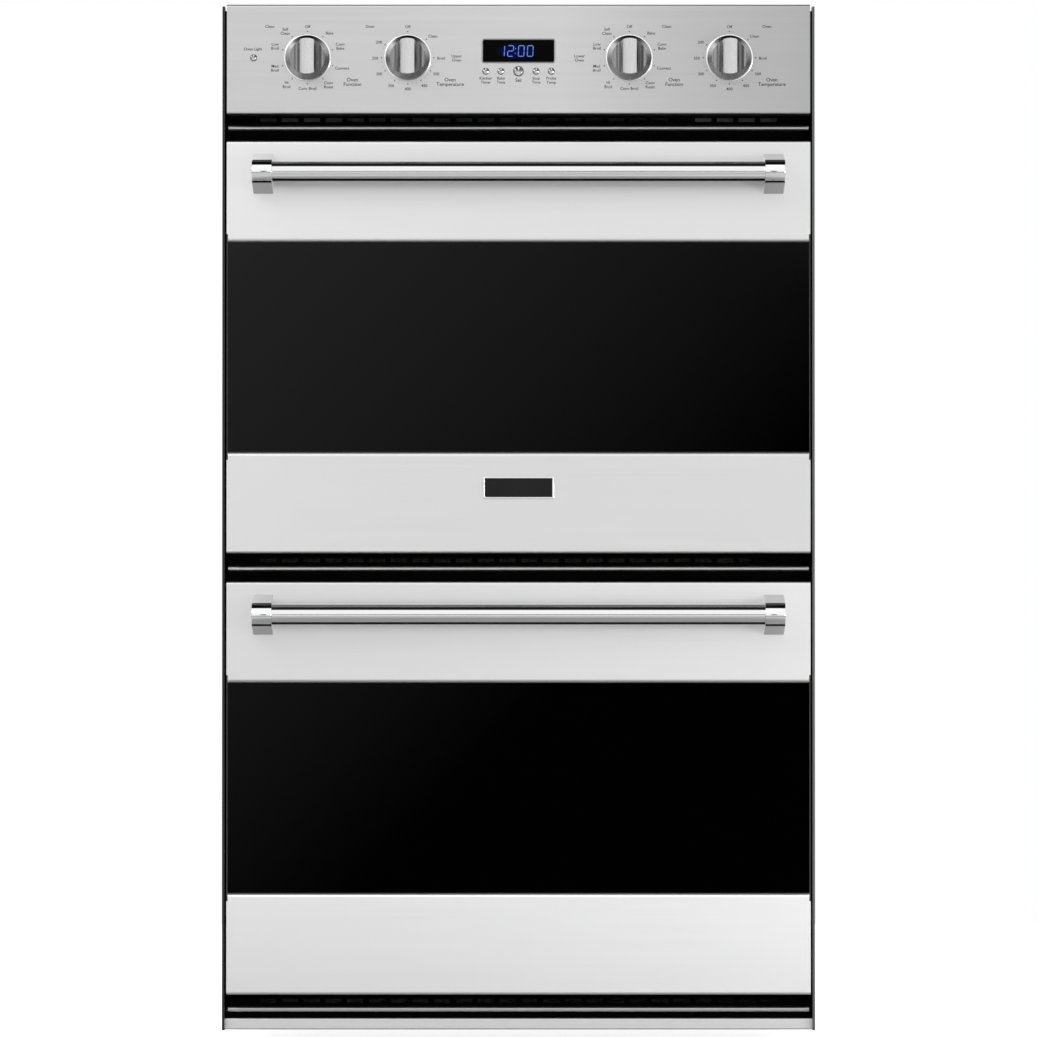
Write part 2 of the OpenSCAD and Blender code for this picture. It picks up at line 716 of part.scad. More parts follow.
module broil_elements() for (z = floor_zs) {
    color("dimgray") serpentine(broil_front, fan_box_y - 60, z + broil_z);
    color("silver") for (y = [broil_front + 30, fan_box_y - 90])
        hangers(y, z + broil_z + element_r / 2, z + cavity_h);
}

ring_r = fan_dia / 2 + 22;
ring_y = fan_box_y + 22;

ring_lead_x = 12;
ring_lead_z = fan_z + sqrt(ring_r * ring_r - ring_lead_x * ring_lead_x);
ring_lead_r = element_r - 0.6;

clip_w = 8;

// A ring of tube round the fan, with two leads through the back wall and two clips that hold it off the wall
module convection_elements() color("dimgray") for (z = floor_zs) {
    translate([0, ring_y, z + fan_z]) rotate([90, 0, 0])
        rotate_extrude() translate([ring_r, 0]) circle(element_r);
    for (x = [-ring_lead_x, ring_lead_x]) cyl_y(x, z + ring_lead_z, ring_lead_r, ring_y, lead_end);
    for (side = [-1, 1]) box([side * ring_r - 1, ring_y, z + fan_z - clip_w / 2],
        [side * ring_r + 1, cavity_back, z + fan_z + clip_w / 2]);
}

motor_d = 34;
lamp_cup_d = 26;
shaft_r = 4;
motor_front = cavity_back + liner_wall + 6;
motor_y = motor_front + lamp_cup_d;

module convection_motors() for (z = floor_zs) {
    color("dimgray") cyl_y(0, z + fan_z, motor_r, motor_y, motor_y + motor_d);
    color("silver") cyl_y(0, z + fan_z, 14, motor_front, motor_y);
    color("silver") cyl_y(0, z + fan_z, shaft_r, fan_box_y + 12, motor_front);
    color("gainsboro") for (a = [45 : 90 : 315])
        cyl_y(24 * cos(a), z + fan_z + 24 * sin(a), 3, cavity_back + liner_wall, motor_y);
}

blades = 8;
fan_hub_r = 12;
fan_y0 = fan_box_y + 14;

// A plate with radial blades, on a bored hub
module convection_fan(z) color("silver") translate([0, fan_y0, z + fan_z]) rotate([-90, 0, 0]) difference() {
    union() {
        cylinder(h = 20, r = fan_hub_r);
        translate([0, 0, 18]) cylinder(h = 2, r = fan_dia / 2);
        for (a = [0 : 360 / blades : 359]) rotate([0, 0, a])
            translate([fan_hub_r - 1, -0.75, 1]) cube([fan_dia / 2 - fan_hub_r - 1, 1.5, 18]);
    }
    translate([0, 0, -eps]) cylinder(h = 20 + 2 * eps, r = shaft_r + shaft_gap);
}

fan_cover_w = cavity_w - 2 * fan_cover_side;
fan_cover_h = min(2 * ring_r + 70, cavity_h - 2 * broil_drop - 22);
cover_r = 24;
inlet_pitch = 14;
inlet_r = 4;
outlet_x = fan_cover_w / 2 - 60;
outlet_w = 44;
outlet_pitch = 24;
outlet_h = 8;

// A pressed baffle over the fan: inlet holes in rings at the middle, outlet slots at the sides
module fan_cover(z) difference() {
    along_y(fan_box_y, cavity_back) round_rect(fan_cover_w, fan_cover_h, cover_r, 0, z + fan_z);
    along_y(fan_box_y + liner_wall, cavity_back + eps) round_rect(fan_cover_w - 2 * liner_wall,
        fan_cover_h - 2 * liner_wall, cover_r - liner_wall, 0, z + fan_z);
    along_y(fan_box_y - eps, fan_box_y + 2 * liner_wall) translate([0, z + fan_z]) {
        circle(inlet_r);
        for (ring = [1 : 4], i = [0 : 6 * ring - 1])
            rotate(i * 60 / ring) translate([ring * inlet_pitch, 0]) circle(inlet_r);
        for (side = [-1, 1], i = [-3 : 3])
            translate([side * outlet_x, i * outlet_pitch]) square([outlet_w, outlet_h], center = true);
    }
}

module fan_covers() color([0.2, 0.22, 0.26]) for (z = floor_zs) fan_cover(z);

lens_rim = 3;
lens_rise = 7;

// A lamp on the back wall: a metal cup behind the wall, a bulb, and a domed lens in front. Drawn along +Z.
module oven_lamp() {
    color("silver") difference() {
        translate([0, 0, liner_wall]) cylinder(h = lamp_cup_d - 1, r = lamp_r + lamp_rim);
        translate([0, 0, liner_wall - eps]) cylinder(h = lamp_cup_d - 3, r = lamp_r - 3);
    }
    color("white") translate([0, 0, 8]) cylinder(h = liner_wall + lamp_cup_d - 11, r = 5);
    color("azure") difference() {
        union() {
            translate([0, 0, -lens_rim]) cylinder(h = lens_rim, r = lamp_r);
            translate([0, 0, -lens_rim - lens_rise])
                cylinder(h = lens_rise, r1 = lamp_r - 9, r2 = lamp_r - 2);
        }
        translate([0, 0, -lens_rim - lens_rise + 2]) cylinder(h = lens_rim + lens_rise, r = lamp_r - 10);
    }
}

module oven_lamps() for (z = floor_zs, side = [-1, 1])
    translate([side * wall_lamp_x, cavity_back, z + wall_lamp_z]) rotate([-90, 0, 0]) oven_lamp();

sensor_front = fan_box_y - 70;

module temperature_sensors() color("silver") for (z = floor_zs) {
    cyl_y(sensor_x, z + sensor_z, sensor_r, sensor_front, lead_end);
    translate([sensor_x, sensor_front, z + sensor_z]) sphere(sensor_r);
    cyl_y(sensor_x, z + sensor_z, sensor_r + 5, cavity_back - 1.5, cavity_back);
}

// ---------------------------------------------------------------- seals and hinges

gasket_w = 10;
gasket_inset = 4;

module door_gaskets() color([0.25, 0.25, 0.26]) for (z = floor_zs)
    along_y(door_back + moving_gap, 0) difference() {
        cavity_outline(z, gasket_inset + gasket_w);
        cavity_outline(z, gasket_inset);
    }

receiver_d = 46;
receiver_w = 18;
receiver_h = 24;
pin_half = 7;

// A pocket behind the frame, the claw that hooks into it, and the pin that the door turns on
module hinge_receiver(z) {
    zp = z + pivot_inset;
    pocket_end = frame_t + receiver_d - 3;
    color("silver") difference() {
        along_y(frame_t, frame_t + receiver_d)
            translate([hinge_x, zp]) square([receiver_w, receiver_h], center = true);
        claw_hole(hinge_x, zp, frame_t - eps, pocket_end);
    }
    color("dimgray") {
        along_y(pivot_y, pocket_end) translate([hinge_x, zp]) square([claw_t, claw_h], center = true);
        cyl_x(pivot_y, zp, claw_h / 2, hinge_x - claw_t / 2, hinge_x + claw_t / 2);
        cyl_x(pivot_y, zp, pin_r, hinge_x - pin_half, hinge_x + pin_half);
    }
}

module hinge_receivers() for (z = door_zs) both_sides() hinge_receiver(z);

// ---------------------------------------------------------------- cooling and supply

wheel_r = 68;
wheel_h = 40;
wheel_rim = 12;
scroll_wall = 1.5;
scroll_r = wheel_r + 14;
scroll_h = wheel_h + 8;
scroll_foot = 12;
duct_w = 0.62 * inner_w;
duct_h = 34;
duct_z0 = bead_tops[0] + vent_rise + vent_slot_h + 3 - duct_h;
duct_mouth = 40;
upper_roof = floor_zs[0] + cavity_h + liner_wall + blanket_t;
blower_at = [60, body_depth * 0.7, duct_z0 - 4];

// A scroll with an inlet below and a motor on top. Drawn from the middle of its floor.
module blower_scroll() {
    color("silver") difference() {
        cylinder(h = scroll_h, r = scroll_r);
        translate([0, 0, scroll_wall]) cylinder(h = scroll_h - 2 * scroll_wall, r = scroll_r - scroll_wall);
        translate([0, 0, -eps]) cylinder(h = 2 * scroll_wall, r = wheel_r - wheel_rim);
        translate([-wheel_r, -scroll_r - duct_mouth / 2, duct_z0 + sheet_t - blower_at[2]])
            cube([2 * wheel_r, duct_mouth, duct_h - 2 * sheet_t]);
    }
    color("dimgray") translate([0, 0, scroll_h]) cylinder(h = 34, r = 34);
    color("silver") translate([0, 0, 8]) cylinder(h = wheel_h, r = shaft_r);
    // feet on the upper oven's blanket
    color("silver") for (side = [-1, 1])
        translate([side * 60 - scroll_foot / 2, -scroll_foot / 2, upper_roof - blower_at[2]])
            cube([scroll_foot, scroll_foot, blower_at[2] - upper_roof]);
}

module cooling_blower() {
    translate(blower_at) blower_scroll();
    // a flat duct to the slots under the control panel
    color("silver") difference() {
        box([-duct_w / 2, frame_t, duct_z0], [duct_w / 2, blower_at[1] - scroll_r, duct_z0 + duct_h]);
        box([-duct_w / 2 + sheet_t, frame_t - eps, duct_z0 + sheet_t],
            [duct_w / 2 - sheet_t, blower_at[1], duct_z0 + duct_h - sheet_t]);
    }
}

// A squirrel cage on a bored hub
module blower_wheel() color("silver") translate(blower_at + [0, 0, 4]) difference() {
    union() {
        difference() {
            cylinder(h = wheel_h, r = wheel_r);
            translate([0, 0, -eps]) cylinder(h = wheel_h - 2, r = wheel_r - wheel_rim);
            for (a = [0 : 12 : 359]) rotate([0, 0, a]) translate([wheel_r - wheel_rim - 1, -4.5, 3])
                cube([wheel_rim + 4, 9, wheel_h - 6]);
        }
        cylinder(h = wheel_h, r = 10);
    }
    translate([0, 0, -eps]) cylinder(h = wheel_h + 2 * eps, r = shaft_r + shaft_gap);
}

gland_wall = 4;
gland_x = inner_w / 2 - 90;
gland_y = body_depth - 60;
gland_rise = 10;
gland_len = 26;
gland_z0 = casing_h + gland_rise - gland_len;
box_w = 110;
box_d = 80;
box_h = 62;

// A box under the top cover, with a terminal block and a bored gland for the supply conduit
module junction_box() translate([gland_x, gland_y, 0]) {
    color("gainsboro") difference() {
        box([-box_w / 2, -box_d / 2, casing_h - sheet_t - box_h], [box_w / 2, box_d / 2, casing_h - sheet_t]);
        box([-box_w / 2 + sheet_t, -box_d / 2 + sheet_t, casing_h - box_h],
            [box_w / 2 - sheet_t, box_d / 2 - sheet_t, casing_h + eps]);
    }
    color("silver") difference() {
        union() {
            cyl_z(0, 0, conduit_r + gland_wall, gland_z0, gland_z0 + gland_len);
            cyl_z(0, 0, conduit_r + 2 * gland_wall, casing_h, casing_h + gland_wall);
        }
        cyl_z(0, 0, conduit_r, gland_z0 - eps, gland_z0 + gland_len + eps);
    }
    color("black") box([-46, -14, casing_h - box_h], [-22, 14, casing_h - box_h + 14]);
}

screw_pitch = 140;
screw_edge = 14;     // from a screw to the casing's edge
screw_end = 30;      // from the first and last screw to the casing's end
screw_rows = floor((casing_h - 2 * screw_end) / screw_pitch);
screw_zs = [for (i = [0 : screw_rows]) screw_end + i * (casing_h - 2 * screw_end) / screw_rows];

module chassis_screws() color("silver") {
    for (z = screw_zs) both_sides() {
        screw_head(inner_w / 2 - screw_edge, z, body_depth);
        for (y = [frame_t + screw_edge, body_depth - screw_edge])
            translate([casing_w / 2, y, z]) rotate([0, 0, -90]) screw_head(0, 0, 0);
    }
    for (y = [screw_end, body_depth / 2, body_depth - screw_end]) both_sides()
        translate([inner_w / 2 - screw_edge, y, casing_h]) rotate([90, 0, 0]) screw_head(0, 0, 0);
}

// ---------------------------------------------------------------- doors

// The notches that the claws sweep through in a door's lower edge, as it turns on its pins
module claw_notches(z) for (side = [-1, 1])
    box([side * hinge_x - claw_t / 2 - claw_gap, claw_cut, z - 1],
        [side * hinge_x + claw_t / 2 + claw_gap, door_back + 1, z + pivot_inset + claw_h / 2 + claw_gap]);

claw_cut = pivot_y - claw_h / 2 - claw_gap;
door_slot_y = (door_face + door_back) / 2 + 4;

// A band's edge, turned in to the glass through a quarter circle: (y, z), dir is +1 when the band is above it
module lip(z, dir) intersection() {
    difference() {
        translate([door_face + lip_r, z + dir * lip_r]) circle(lip_r);
        translate([door_face + lip_r, z + dir * lip_r]) circle(lip_r - sheet_t);
    }
    translate([door_face, dir > 0 ? z : z - lip_r]) square([lip_r, lip_r]);
}

// One stainless pressing: two bands, joined by narrow sides past the glass
module door_skin(z) color("silver") {
    z1 = z + band_h;
    z2 = z + door_h - band_h;
    difference() {
        folded_tray(face_w, door_face, door_face + skin_d, z, z + door_h, fold_r, sheet_t);
        box([-face_w / 2 + sheet_t, door_face - 1, z1 - lip_r],
            [face_w / 2 - sheet_t, door_face + 2 * sheet_t, z2 + lip_r]);
        claw_notches(z);
        top_slots(18, face_w / 20, door_slot_y, z + door_h - sheet_t, sheet_t);
    }
    along_x(-face_w / 2 + sheet_t, face_w / 2 - sheet_t) {
        lip(z1, -1);
        lip(z2, 1);
        for (s = [z1 - sheet_t, z2]) translate([door_face + lip_r, s]) square([pane_set, sheet_t]);
    }
}

module door_glass(z) color([0.02, 0.02, 0.02])
    box([-face_w / 2 + sheet_t + 0.3, pane_y, z + band_h - pane_edge],
        [face_w / 2 - sheet_t - 0.3, pane_y + glass_t, z + door_h - band_h + pane_edge]);

// The door's inner pressing: a rim, a raised plateau that enters the gasket's ring, and a window
module door_liner(z) color([0.16, 0.18, 0.22]) {
    rim_w = face_w - 2 * sheet_t - 2 * fit_gap;
    z0 = z + sheet_t + fit_gap;
    z1 = z + door_h - sheet_t - fit_gap;
    zf = z + floor_rise;
    zc = zf + cavity_h / 2;
    difference() {
        union() {
            difference() {
                box([-rim_w / 2, pane_back + 2, z0], [rim_w / 2, door_back, z1]);
                box([-rim_w / 2 + liner_t, pane_back + 1, z0 + liner_t],
                    [rim_w / 2 - liner_t, door_back - liner_t, z1 - liner_t]);
            }
            along_y(door_back - liner_t, door_back + plateau_rise) cavity_outline(zf, -plateau_margin);
            // rails that carry the middle pane
            for (side = [-1, 1]) translate([0, middle_pane_y, zc + side * (window_h / 2 + pane_edge + 3)])
                box([-window_w / 2, 0, -2], [window_w / 2, door_back - liner_t - middle_pane_y, 2]);
        }
        along_y(door_back - liner_t - 1, door_back + plateau_rise - liner_t)
            cavity_outline(zf, -plateau_margin - liner_t);
        along_y(door_back - 2, door_back + plateau_rise + 1) round_rect(window_w, window_h, 14, 0, zc);
        claw_notches(z);
        top_slots(18, face_w / 20, door_slot_y, z1 - liner_t, liner_t);
    }
}

// The pane that faces the oven, and the middle pane
module inner_glass(z) color([0.05, 0.05, 0.06]) {
    zc = z + floor_rise + cavity_h / 2;
    inner_y = door_back + plateau_rise - liner_t - glass_t;
    box([-window_w / 2 - pane_edge, inner_y, zc - window_h / 2 - pane_edge],
        [window_w / 2 + pane_edge, inner_y + glass_t, zc + window_h / 2 + pane_edge]);
    box([-window_w / 2 - pane_edge, middle_pane_y - glass_t, zc - window_h / 2 - pane_edge - 5],
        [window_w / 2 + pane_edge, middle_pane_y, zc + window_h / 2 + pane_edge + 5]);
}

cheek_t = 2;
cheek_gap = 0.4;     // beside the claw
hinge_channel_h = 150;
hinge_channel_y = pane_back + 3;

// A channel in the door on each side, with cheeks bored for the pin
module door_hinges(z) color("dimgray") both_sides() difference() {
    x0 = hinge_x - claw_t / 2 - cheek_gap - cheek_t;
    x1 = hinge_x + claw_t / 2 + cheek_gap + cheek_t;
    box([x0, hinge_channel_y, z + sheet_t + fit_gap + liner_t],
        [x1, door_back - liner_t, z + hinge_channel_h]);
    box([x0 + cheek_t, hinge_channel_y + cheek_t, z], [x1 - cheek_t, door_back, z + hinge_channel_h + 1]);
    cyl_x(pivot_y, z + pivot_inset, pin_r + shaft_gap, x0 - 1, x1 + 1);
}

barrel_r = handle_dia / 2 + barrel_wall;
handle_y = door_face - handle_reach;
bracket_x1 = face_w / 2 - bracket_inset;
bracket_x0 = bracket_x1 - bracket_w;
tube_depth = 16;     // how far the tube goes into each bracket
tube_wall = 1.5;
tube_half = bracket_x0 + tube_depth;
bracket_screw_z = 15;
bracket_screw_r = 2.5;
bracket_screw_len = 6;

module handle_bar(z) color("silver") translate([0, handle_y, z + door_h - handle_drop]) difference() {
    cyl_x(0, 0, handle_dia / 2, -tube_half, tube_half);
    cyl_x(0, 0, handle_dia / 2 - tube_wall, -tube_half - eps, tube_half + eps);
}

// The point where a line from the foot's corner touches the barrel, for a corner at (reach, half foot height)
foot_angle = atan2(bracket_foot_h / 2, handle_reach);
touch_angle = foot_angle + acos(barrel_r / norm([handle_reach, bracket_foot_h / 2]));

// A post that flares from a barrel round the tube to a tall foot on the door
module handle_brackets(z) {
    zc = z + door_h - handle_drop;
    touch = barrel_r * [cos(touch_angle), sin(touch_angle)];
    color("silver") both_sides() difference() {
        along_x(bracket_x0, bracket_x1) translate([handle_y, zc]) {
            circle(barrel_r);
            polygon([
                [handle_reach, -bracket_foot_h / 2],
                [handle_reach, bracket_foot_h / 2],
                touch,
                [touch[0], -touch[1]]
            ]);
        }
        cyl_x(handle_y, zc, handle_dia / 2 + shaft_gap, bracket_x0 - eps, bracket_x0 + tube_depth);
    }
    // fixing screws, on the inside of the skin
    color("dimgray") both_sides() for (side = [-1, 1])
        cyl_y((bracket_x0 + bracket_x1) / 2, zc + side * bracket_screw_z, bracket_screw_r,
            door_face + sheet_t, door_face + sheet_t + bracket_screw_len);
}

badge_w = 89.7;
badge_h = 28.2;
badge_t = 2.5;
badge_z = 82.4;      // its middle, over the upper door's lower edge
badge_r = 2;
badge_rim = 2.7;
badge_field = 0.8;   // depth of the field inside the rim

module badge() color("silver") difference() {
    along_y(door_face - badge_t, door_face) round_rect(badge_w, badge_h, badge_r, 0, upper_door_z + badge_z);
    along_y(door_face - badge_t - eps, door_face - badge_t + badge_field)
        round_rect(badge_w - 2 * badge_rim, badge_h - 2 * badge_rim, badge_r / 2, 0, upper_door_z + badge_z);
}

// ---------------------------------------------------------------- nodes

placed() base_pan();
placed() side_panels();
placed() back_panel();
placed() top_cover();
placed() front_frame();
placed() side_trims();
placed() bottom_trim();
placed() vent_trims();
placed() control_panel();
placed() display_window();
placed() control_boards();
placed() panel_switches();
placed() knob_bezels();
placed() oven_liners();
placed() insulation_blankets();
placed() rack_guides();
placed() bake_elements();
placed() broil_elements();
placed() convection_elements();
placed() convection_motors();
placed() fan_covers();
placed() oven_lamps();
placed() temperature_sensors();
placed() door_gaskets();
placed() hinge_receivers();
placed() cooling_blower();
placed() junction_box();
placed() chassis_screws();
placed() knob(knob_xs[0]);  // upper_function_knob
placed() knob(knob_xs[1]);  // upper_temperature_knob
placed() knob(knob_xs[2]);  // lower_function_knob
placed() knob(knob_xs[3]);  // lower_temperature_knob
placed() small_button(lamp_button_x, knob_axis_z);  // lamp_button
placed() small_button(-button_pitch_out, button_axis_z);  // kitchen_timer_button
placed() small_button(-button_pitch_in, button_axis_z);  // bake_time_button
placed() push_button(0, button_axis_z, set_button_r);  // set_button
placed() small_button(button_pitch_in, button_axis_z);  // stop_time_button
placed() small_button(button_pitch_out, button_axis_z);  // probe_button
placed() oven_rack(rack_height(0, high_rung));  // upper_oven_high_rack
placed() oven_rack(rack_height(0, low_rung));  // upper_oven_low_rack
placed() oven_rack(rack_height(1, high_rung));  // lower_oven_high_rack
placed() oven_rack(rack_height(1, low_rung));  // lower_oven_low_rack
placed() convection_fan(floor_zs[0]);  // upper_convection_fan
placed() convection_fan(floor_zs[1]);  // lower_convection_fan
placed() blower_wheel();
placed() door_skin(upper_door_z);  // upper_door_skin
placed() door_glass(upper_door_z);  // upper_door_glass
placed() door_liner(upper_door_z);  // upper_door_liner
placed() inner_glass(upper_door_z);  // upper_inner_glass
placed() door_hinges(upper_door_z);  // upper_door_hinges
placed() handle_bar(upper_door_z);  // upper_handle_bar
placed() handle_brackets(upper_door_z);  // upper_handle_brackets
placed() door_skin(lower_door_z);  // lower_door_skin
placed() door_glass(lower_door_z);  // lower_door_glass
placed() door_liner(lower_door_z);  // lower_door_liner
placed() inner_glass(lower_door_z);  // lower_inner_glass
placed() door_hinges(lower_door_z);  // lower_door_hinges
placed() handle_bar(lower_door_z);  // lower_handle_bar
placed() handle_brackets(lower_door_z);  // lower_handle_brackets
placed() badge();
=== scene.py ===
"""Visual model of a built-in double wall oven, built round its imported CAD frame. Lengths are metres."""
import json
import math

import bmesh
import bpy
import numpy as np
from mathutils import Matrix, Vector


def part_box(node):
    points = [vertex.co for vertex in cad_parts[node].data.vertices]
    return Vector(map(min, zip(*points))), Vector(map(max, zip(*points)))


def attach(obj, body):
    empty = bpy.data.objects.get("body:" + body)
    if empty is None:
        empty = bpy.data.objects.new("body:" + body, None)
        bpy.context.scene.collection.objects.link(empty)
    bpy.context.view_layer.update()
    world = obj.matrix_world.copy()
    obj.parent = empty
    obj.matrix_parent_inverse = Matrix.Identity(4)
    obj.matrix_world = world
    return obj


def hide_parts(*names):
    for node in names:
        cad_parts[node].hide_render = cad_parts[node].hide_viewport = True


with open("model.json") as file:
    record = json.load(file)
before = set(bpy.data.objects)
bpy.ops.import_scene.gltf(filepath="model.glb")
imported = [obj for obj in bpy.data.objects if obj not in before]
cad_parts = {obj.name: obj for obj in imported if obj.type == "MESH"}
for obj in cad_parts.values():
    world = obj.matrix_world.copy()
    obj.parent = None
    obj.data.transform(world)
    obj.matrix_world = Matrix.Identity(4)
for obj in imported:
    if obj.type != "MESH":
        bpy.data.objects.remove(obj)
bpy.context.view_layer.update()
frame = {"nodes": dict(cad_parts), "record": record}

NODES = frame["nodes"]
MM = 0.001

# ---------------------------------------------------------------- camera, lights and stage

DOOR_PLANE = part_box("upper_door_skin")[0].y
VIEW_WIDTH = 1.306          # what the frame covers at the door's face
CAMERA_REACH = 9.0
EYE_Z = 0.525
AIM_Z = 0.646


def make_camera():
    """A long lens straight ahead of the doors, a little below their middle and looking up a little."""
    cam = bpy.data.cameras.new("studio_camera")
    cam.sensor_width = 36.0
    cam.lens = 18.0 * CAMERA_REACH / (VIEW_WIDTH / 2)
    cam.clip_start, cam.clip_end = 0.1, 200.0
    obj = bpy.data.objects.new("studio_camera", cam)
    obj.location = (0.0, DOOR_PLANE - CAMERA_REACH, EYE_Z)
    aim = Vector((0.0, DOOR_PLANE, AIM_Z)) - obj.location
    obj.rotation_mode = "QUATERNION"
    obj.rotation_quaternion = aim.to_track_quat("-Z", "Y")
    bpy.context.scene.collection.objects.link(obj)
    bpy.context.scene.camera = obj


make_camera()
bpy.context.scene.view_settings.view_transform = "Standard"
bpy.context.scene.view_settings.look = "None"


class Shader:
    """A material's or the world's node tree, with short calls to add and join nodes."""

    def __init__(self, tree):
        self.tree = tree
        self.tree.nodes.clear()

    def node(self, kind, **values):
        made = self.tree.nodes.new(kind)
        for name, value in values.items():
            setattr(made, name, value)
        return made

    def link(self, a, b):
        self.tree.links.new(a, b)

    def feed(self, socket, value):
        """Joins a socket to value, or sets value on it."""
        if isinstance(value, bpy.types.NodeSocket):
            self.link(value, socket)
        else:
            socket.default_value = value

    def math(self, operation, a, b=0.0, c=0.0, clamp=False):
        made = self.node("ShaderNodeMath", operation=operation, use_clamp=clamp)
        for i, value in enumerate((a, b, c)):
            self.feed(made.inputs[i], value)
        return made.outputs[0]

    def length(self, a, b):
        """The square root of a squared and b squared together."""
        return self.math("SQRT", self.math("ADD", self.math("MULTIPLY", a, a), self.math("MULTIPLY", b, b)))

    def ramp(self, fac, stops):
        """A tone or colour read off straight lines between stops of (place, value)."""
        made = self.node("ShaderNodeValToRGB")
        made.color_ramp.interpolation = "LINEAR"
        while len(made.color_ramp.elements) < len(stops):
            made.color_ramp.elements.new(0.5)
        for element, (at, value) in zip(made.color_ramp.elements, stops):
            element.position = at
            element.color = (value, value, value, 1) if isinstance(value, (int, float)) else (*value, 1)
        self.feed(made.inputs[0], fac)
        return made.outputs[0]

    def span(self, value, low, high, to_low=0.0, to_high=1.0, smooth=True):
        """Maps low..high to to_low..to_high, held at both ends."""
        made = self.node("ShaderNodeMapRange", interpolation_type="SMOOTHSTEP" if smooth else "LINEAR")
        for i, x in enumerate((value, low, high, to_low, to_high)):
            self.feed(made.inputs[i], x)
        return made.outputs[0]

    def mix(self, fac, a, b, blend="MIX"):
        made = self.node("ShaderNodeMix", data_type="RGBA", blend_type=blend)
        self.feed(made.inputs[0], fac)
        self.feed(made.inputs[6], a if isinstance(a, bpy.types.NodeSocket) else (*a, 1))
        self.feed(made.inputs[7], b if isinstance(b, bpy.types.NodeSocket) else (*b, 1))
        return made.outputs[2]

    def xyz(self, vector):
        made = self.node("ShaderNodeSeparateXYZ")
        self.link(vector, made.inputs[0])
        return made.outputs

    def coords(self, scale=(1, 1, 1), move=(0, 0, 0)):
        """Object coordinates, scaled and then moved."""
        made = self.node("ShaderNodeMapping")
        made.inputs["Location"].default_value = move
        made.inputs["Scale"].default_value = scale
        self.link(self.node("ShaderNodeTexCoord").outputs["Object"], made.inputs[0])
        return made.outputs[0]

    def noise(self, coords, scale=1.0, detail=3.0, rough=0.5):
        made = self.node("ShaderNodeTexNoise")
        self.link(coords, made.inputs["Vector"])
        made.inputs["Scale"].default_value = scale
        made.inputs["Detail"].default_value = detail
        made.inputs["Roughness"].default_value = rough
        return made.outputs[0]

    def bump(self, height, strength, distance):
        made = self.node("ShaderNodeBump")
        made.inputs["Strength"].default_value = strength
        made.inputs["Distance"].default_value = distance
        self.link(height, made.inputs["Height"])
        return made.outputs[0]


# the studio's brightness by degrees from straight ahead, upwards and over
SKY = ((-180, 0.55), (-90, 0.5), (-17, 0.7), (-10, 0.88), (0, 1.03), (62, 1.1), (68, 0.04), (100, 0.04),
       (108, 0.14), (130, 0.2), (150, 0.55), (180, 0.55))


def light_world():
    """A plain soft studio, as a function of the direction (x, y, z) that a reflection looks along.

    turn is the angle from straight ahead (-Y) upwards and over: dimmer under the horizon, bright up to a
    steep angle, a dark ceiling, and dim behind. To the sides only the height counts. A small patch straight
    ahead is dark, and least so towards its upper left."""
    world = bpy.data.worlds.new("studio")
    world.use_nodes = True
    bpy.context.scene.world = world
    s = Shader(world.node_tree)
    x, y, z = s.xyz(s.node("ShaderNodeTexCoord").outputs["Generated"])
    turn = s.math("ARCTAN2", z, s.math("MULTIPLY", y, -1.0))
    over = s.ramp(s.span(turn, -math.pi, math.pi, smooth=False),
                  [((degrees + 180) / 360, value) for degrees, value in SKY])
    aside = s.ramp(s.span(z, -1.0, 1.0, smooth=False),
                   [(0.0, 0.4), (0.45, 0.42), (0.5, 0.8), (0.9, 0.85), (1.0, 0.3)])
    colour = s.mix(s.span(s.math("ABSOLUTE", x), 0.5, 0.85), over, aside)
    slant = s.math("SUBTRACT", z, x)
    patch = s.span(slant, -0.015, 0.1, 0.0, 0.42, smooth=False)
    colour = s.mix(s.span(y, -0.9981, -0.9960, 1.0, 0.0), colour, patch)
    seen = s.node("ShaderNodeLightPath").outputs["Is Camera Ray"]
    colour = s.mix(seen, colour, (1.0, 1.0, 1.0))
    background = s.node("ShaderNodeBackground")
    s.link(colour, background.inputs[0])
    out = s.node("ShaderNodeOutputWorld")
    s.link(background.outputs[0], out.inputs[0])


light_world()


def soft_light(name, place, aim, size, watts):
    """A rectangular lamp at a place, turned to face its aim."""
    lamp = bpy.data.lights.new(name, "AREA")
    lamp.shape = "RECTANGLE"
    lamp.size, lamp.size_y = size
    lamp.energy = watts
    obj = bpy.data.objects.new(name, lamp)
    obj.location = place
    obj.rotation_mode = "QUATERNION"
    obj.rotation_quaternion = (Vector(aim) - obj.location).to_track_quat("-Z", "Y")
    bpy.context.scene.collection.objects.link(obj)


soft_light("key_light", (-2.6, -4.2, 3.4), (0, -0.3, 0.8), (2.4, 1.6), 75)
soft_light("fill_light", (3.0, -3.8, 0.5), (0, -0.3, 0.6), (1.6, 0.9), 60)
soft_light("back_light", (1.8, 4.6, 3.0), (0, 0.3, 0.7), (2.4, 1.8), 60)


# ---------------------------------------------------------------- materials

def material(name):
    """A new material, its shader tree, and its one surface shader."""
    made = bpy.data.materials.new(name)
    made.use_nodes = True
    s = Shader(made.node_tree)
    skin = s.node("ShaderNodeBsdfPrincipled")
    out = s.node("ShaderNodeOutputMaterial")
    s.link(skin.outputs[0], out.inputs[0])
    made["finish"] = name
    return made, s, skin


ALONG_X = (3.0, 900.0, 900.0)       # noise scales that draw fine lines along X
ALONG_Z = (900.0, 900.0, 3.0)


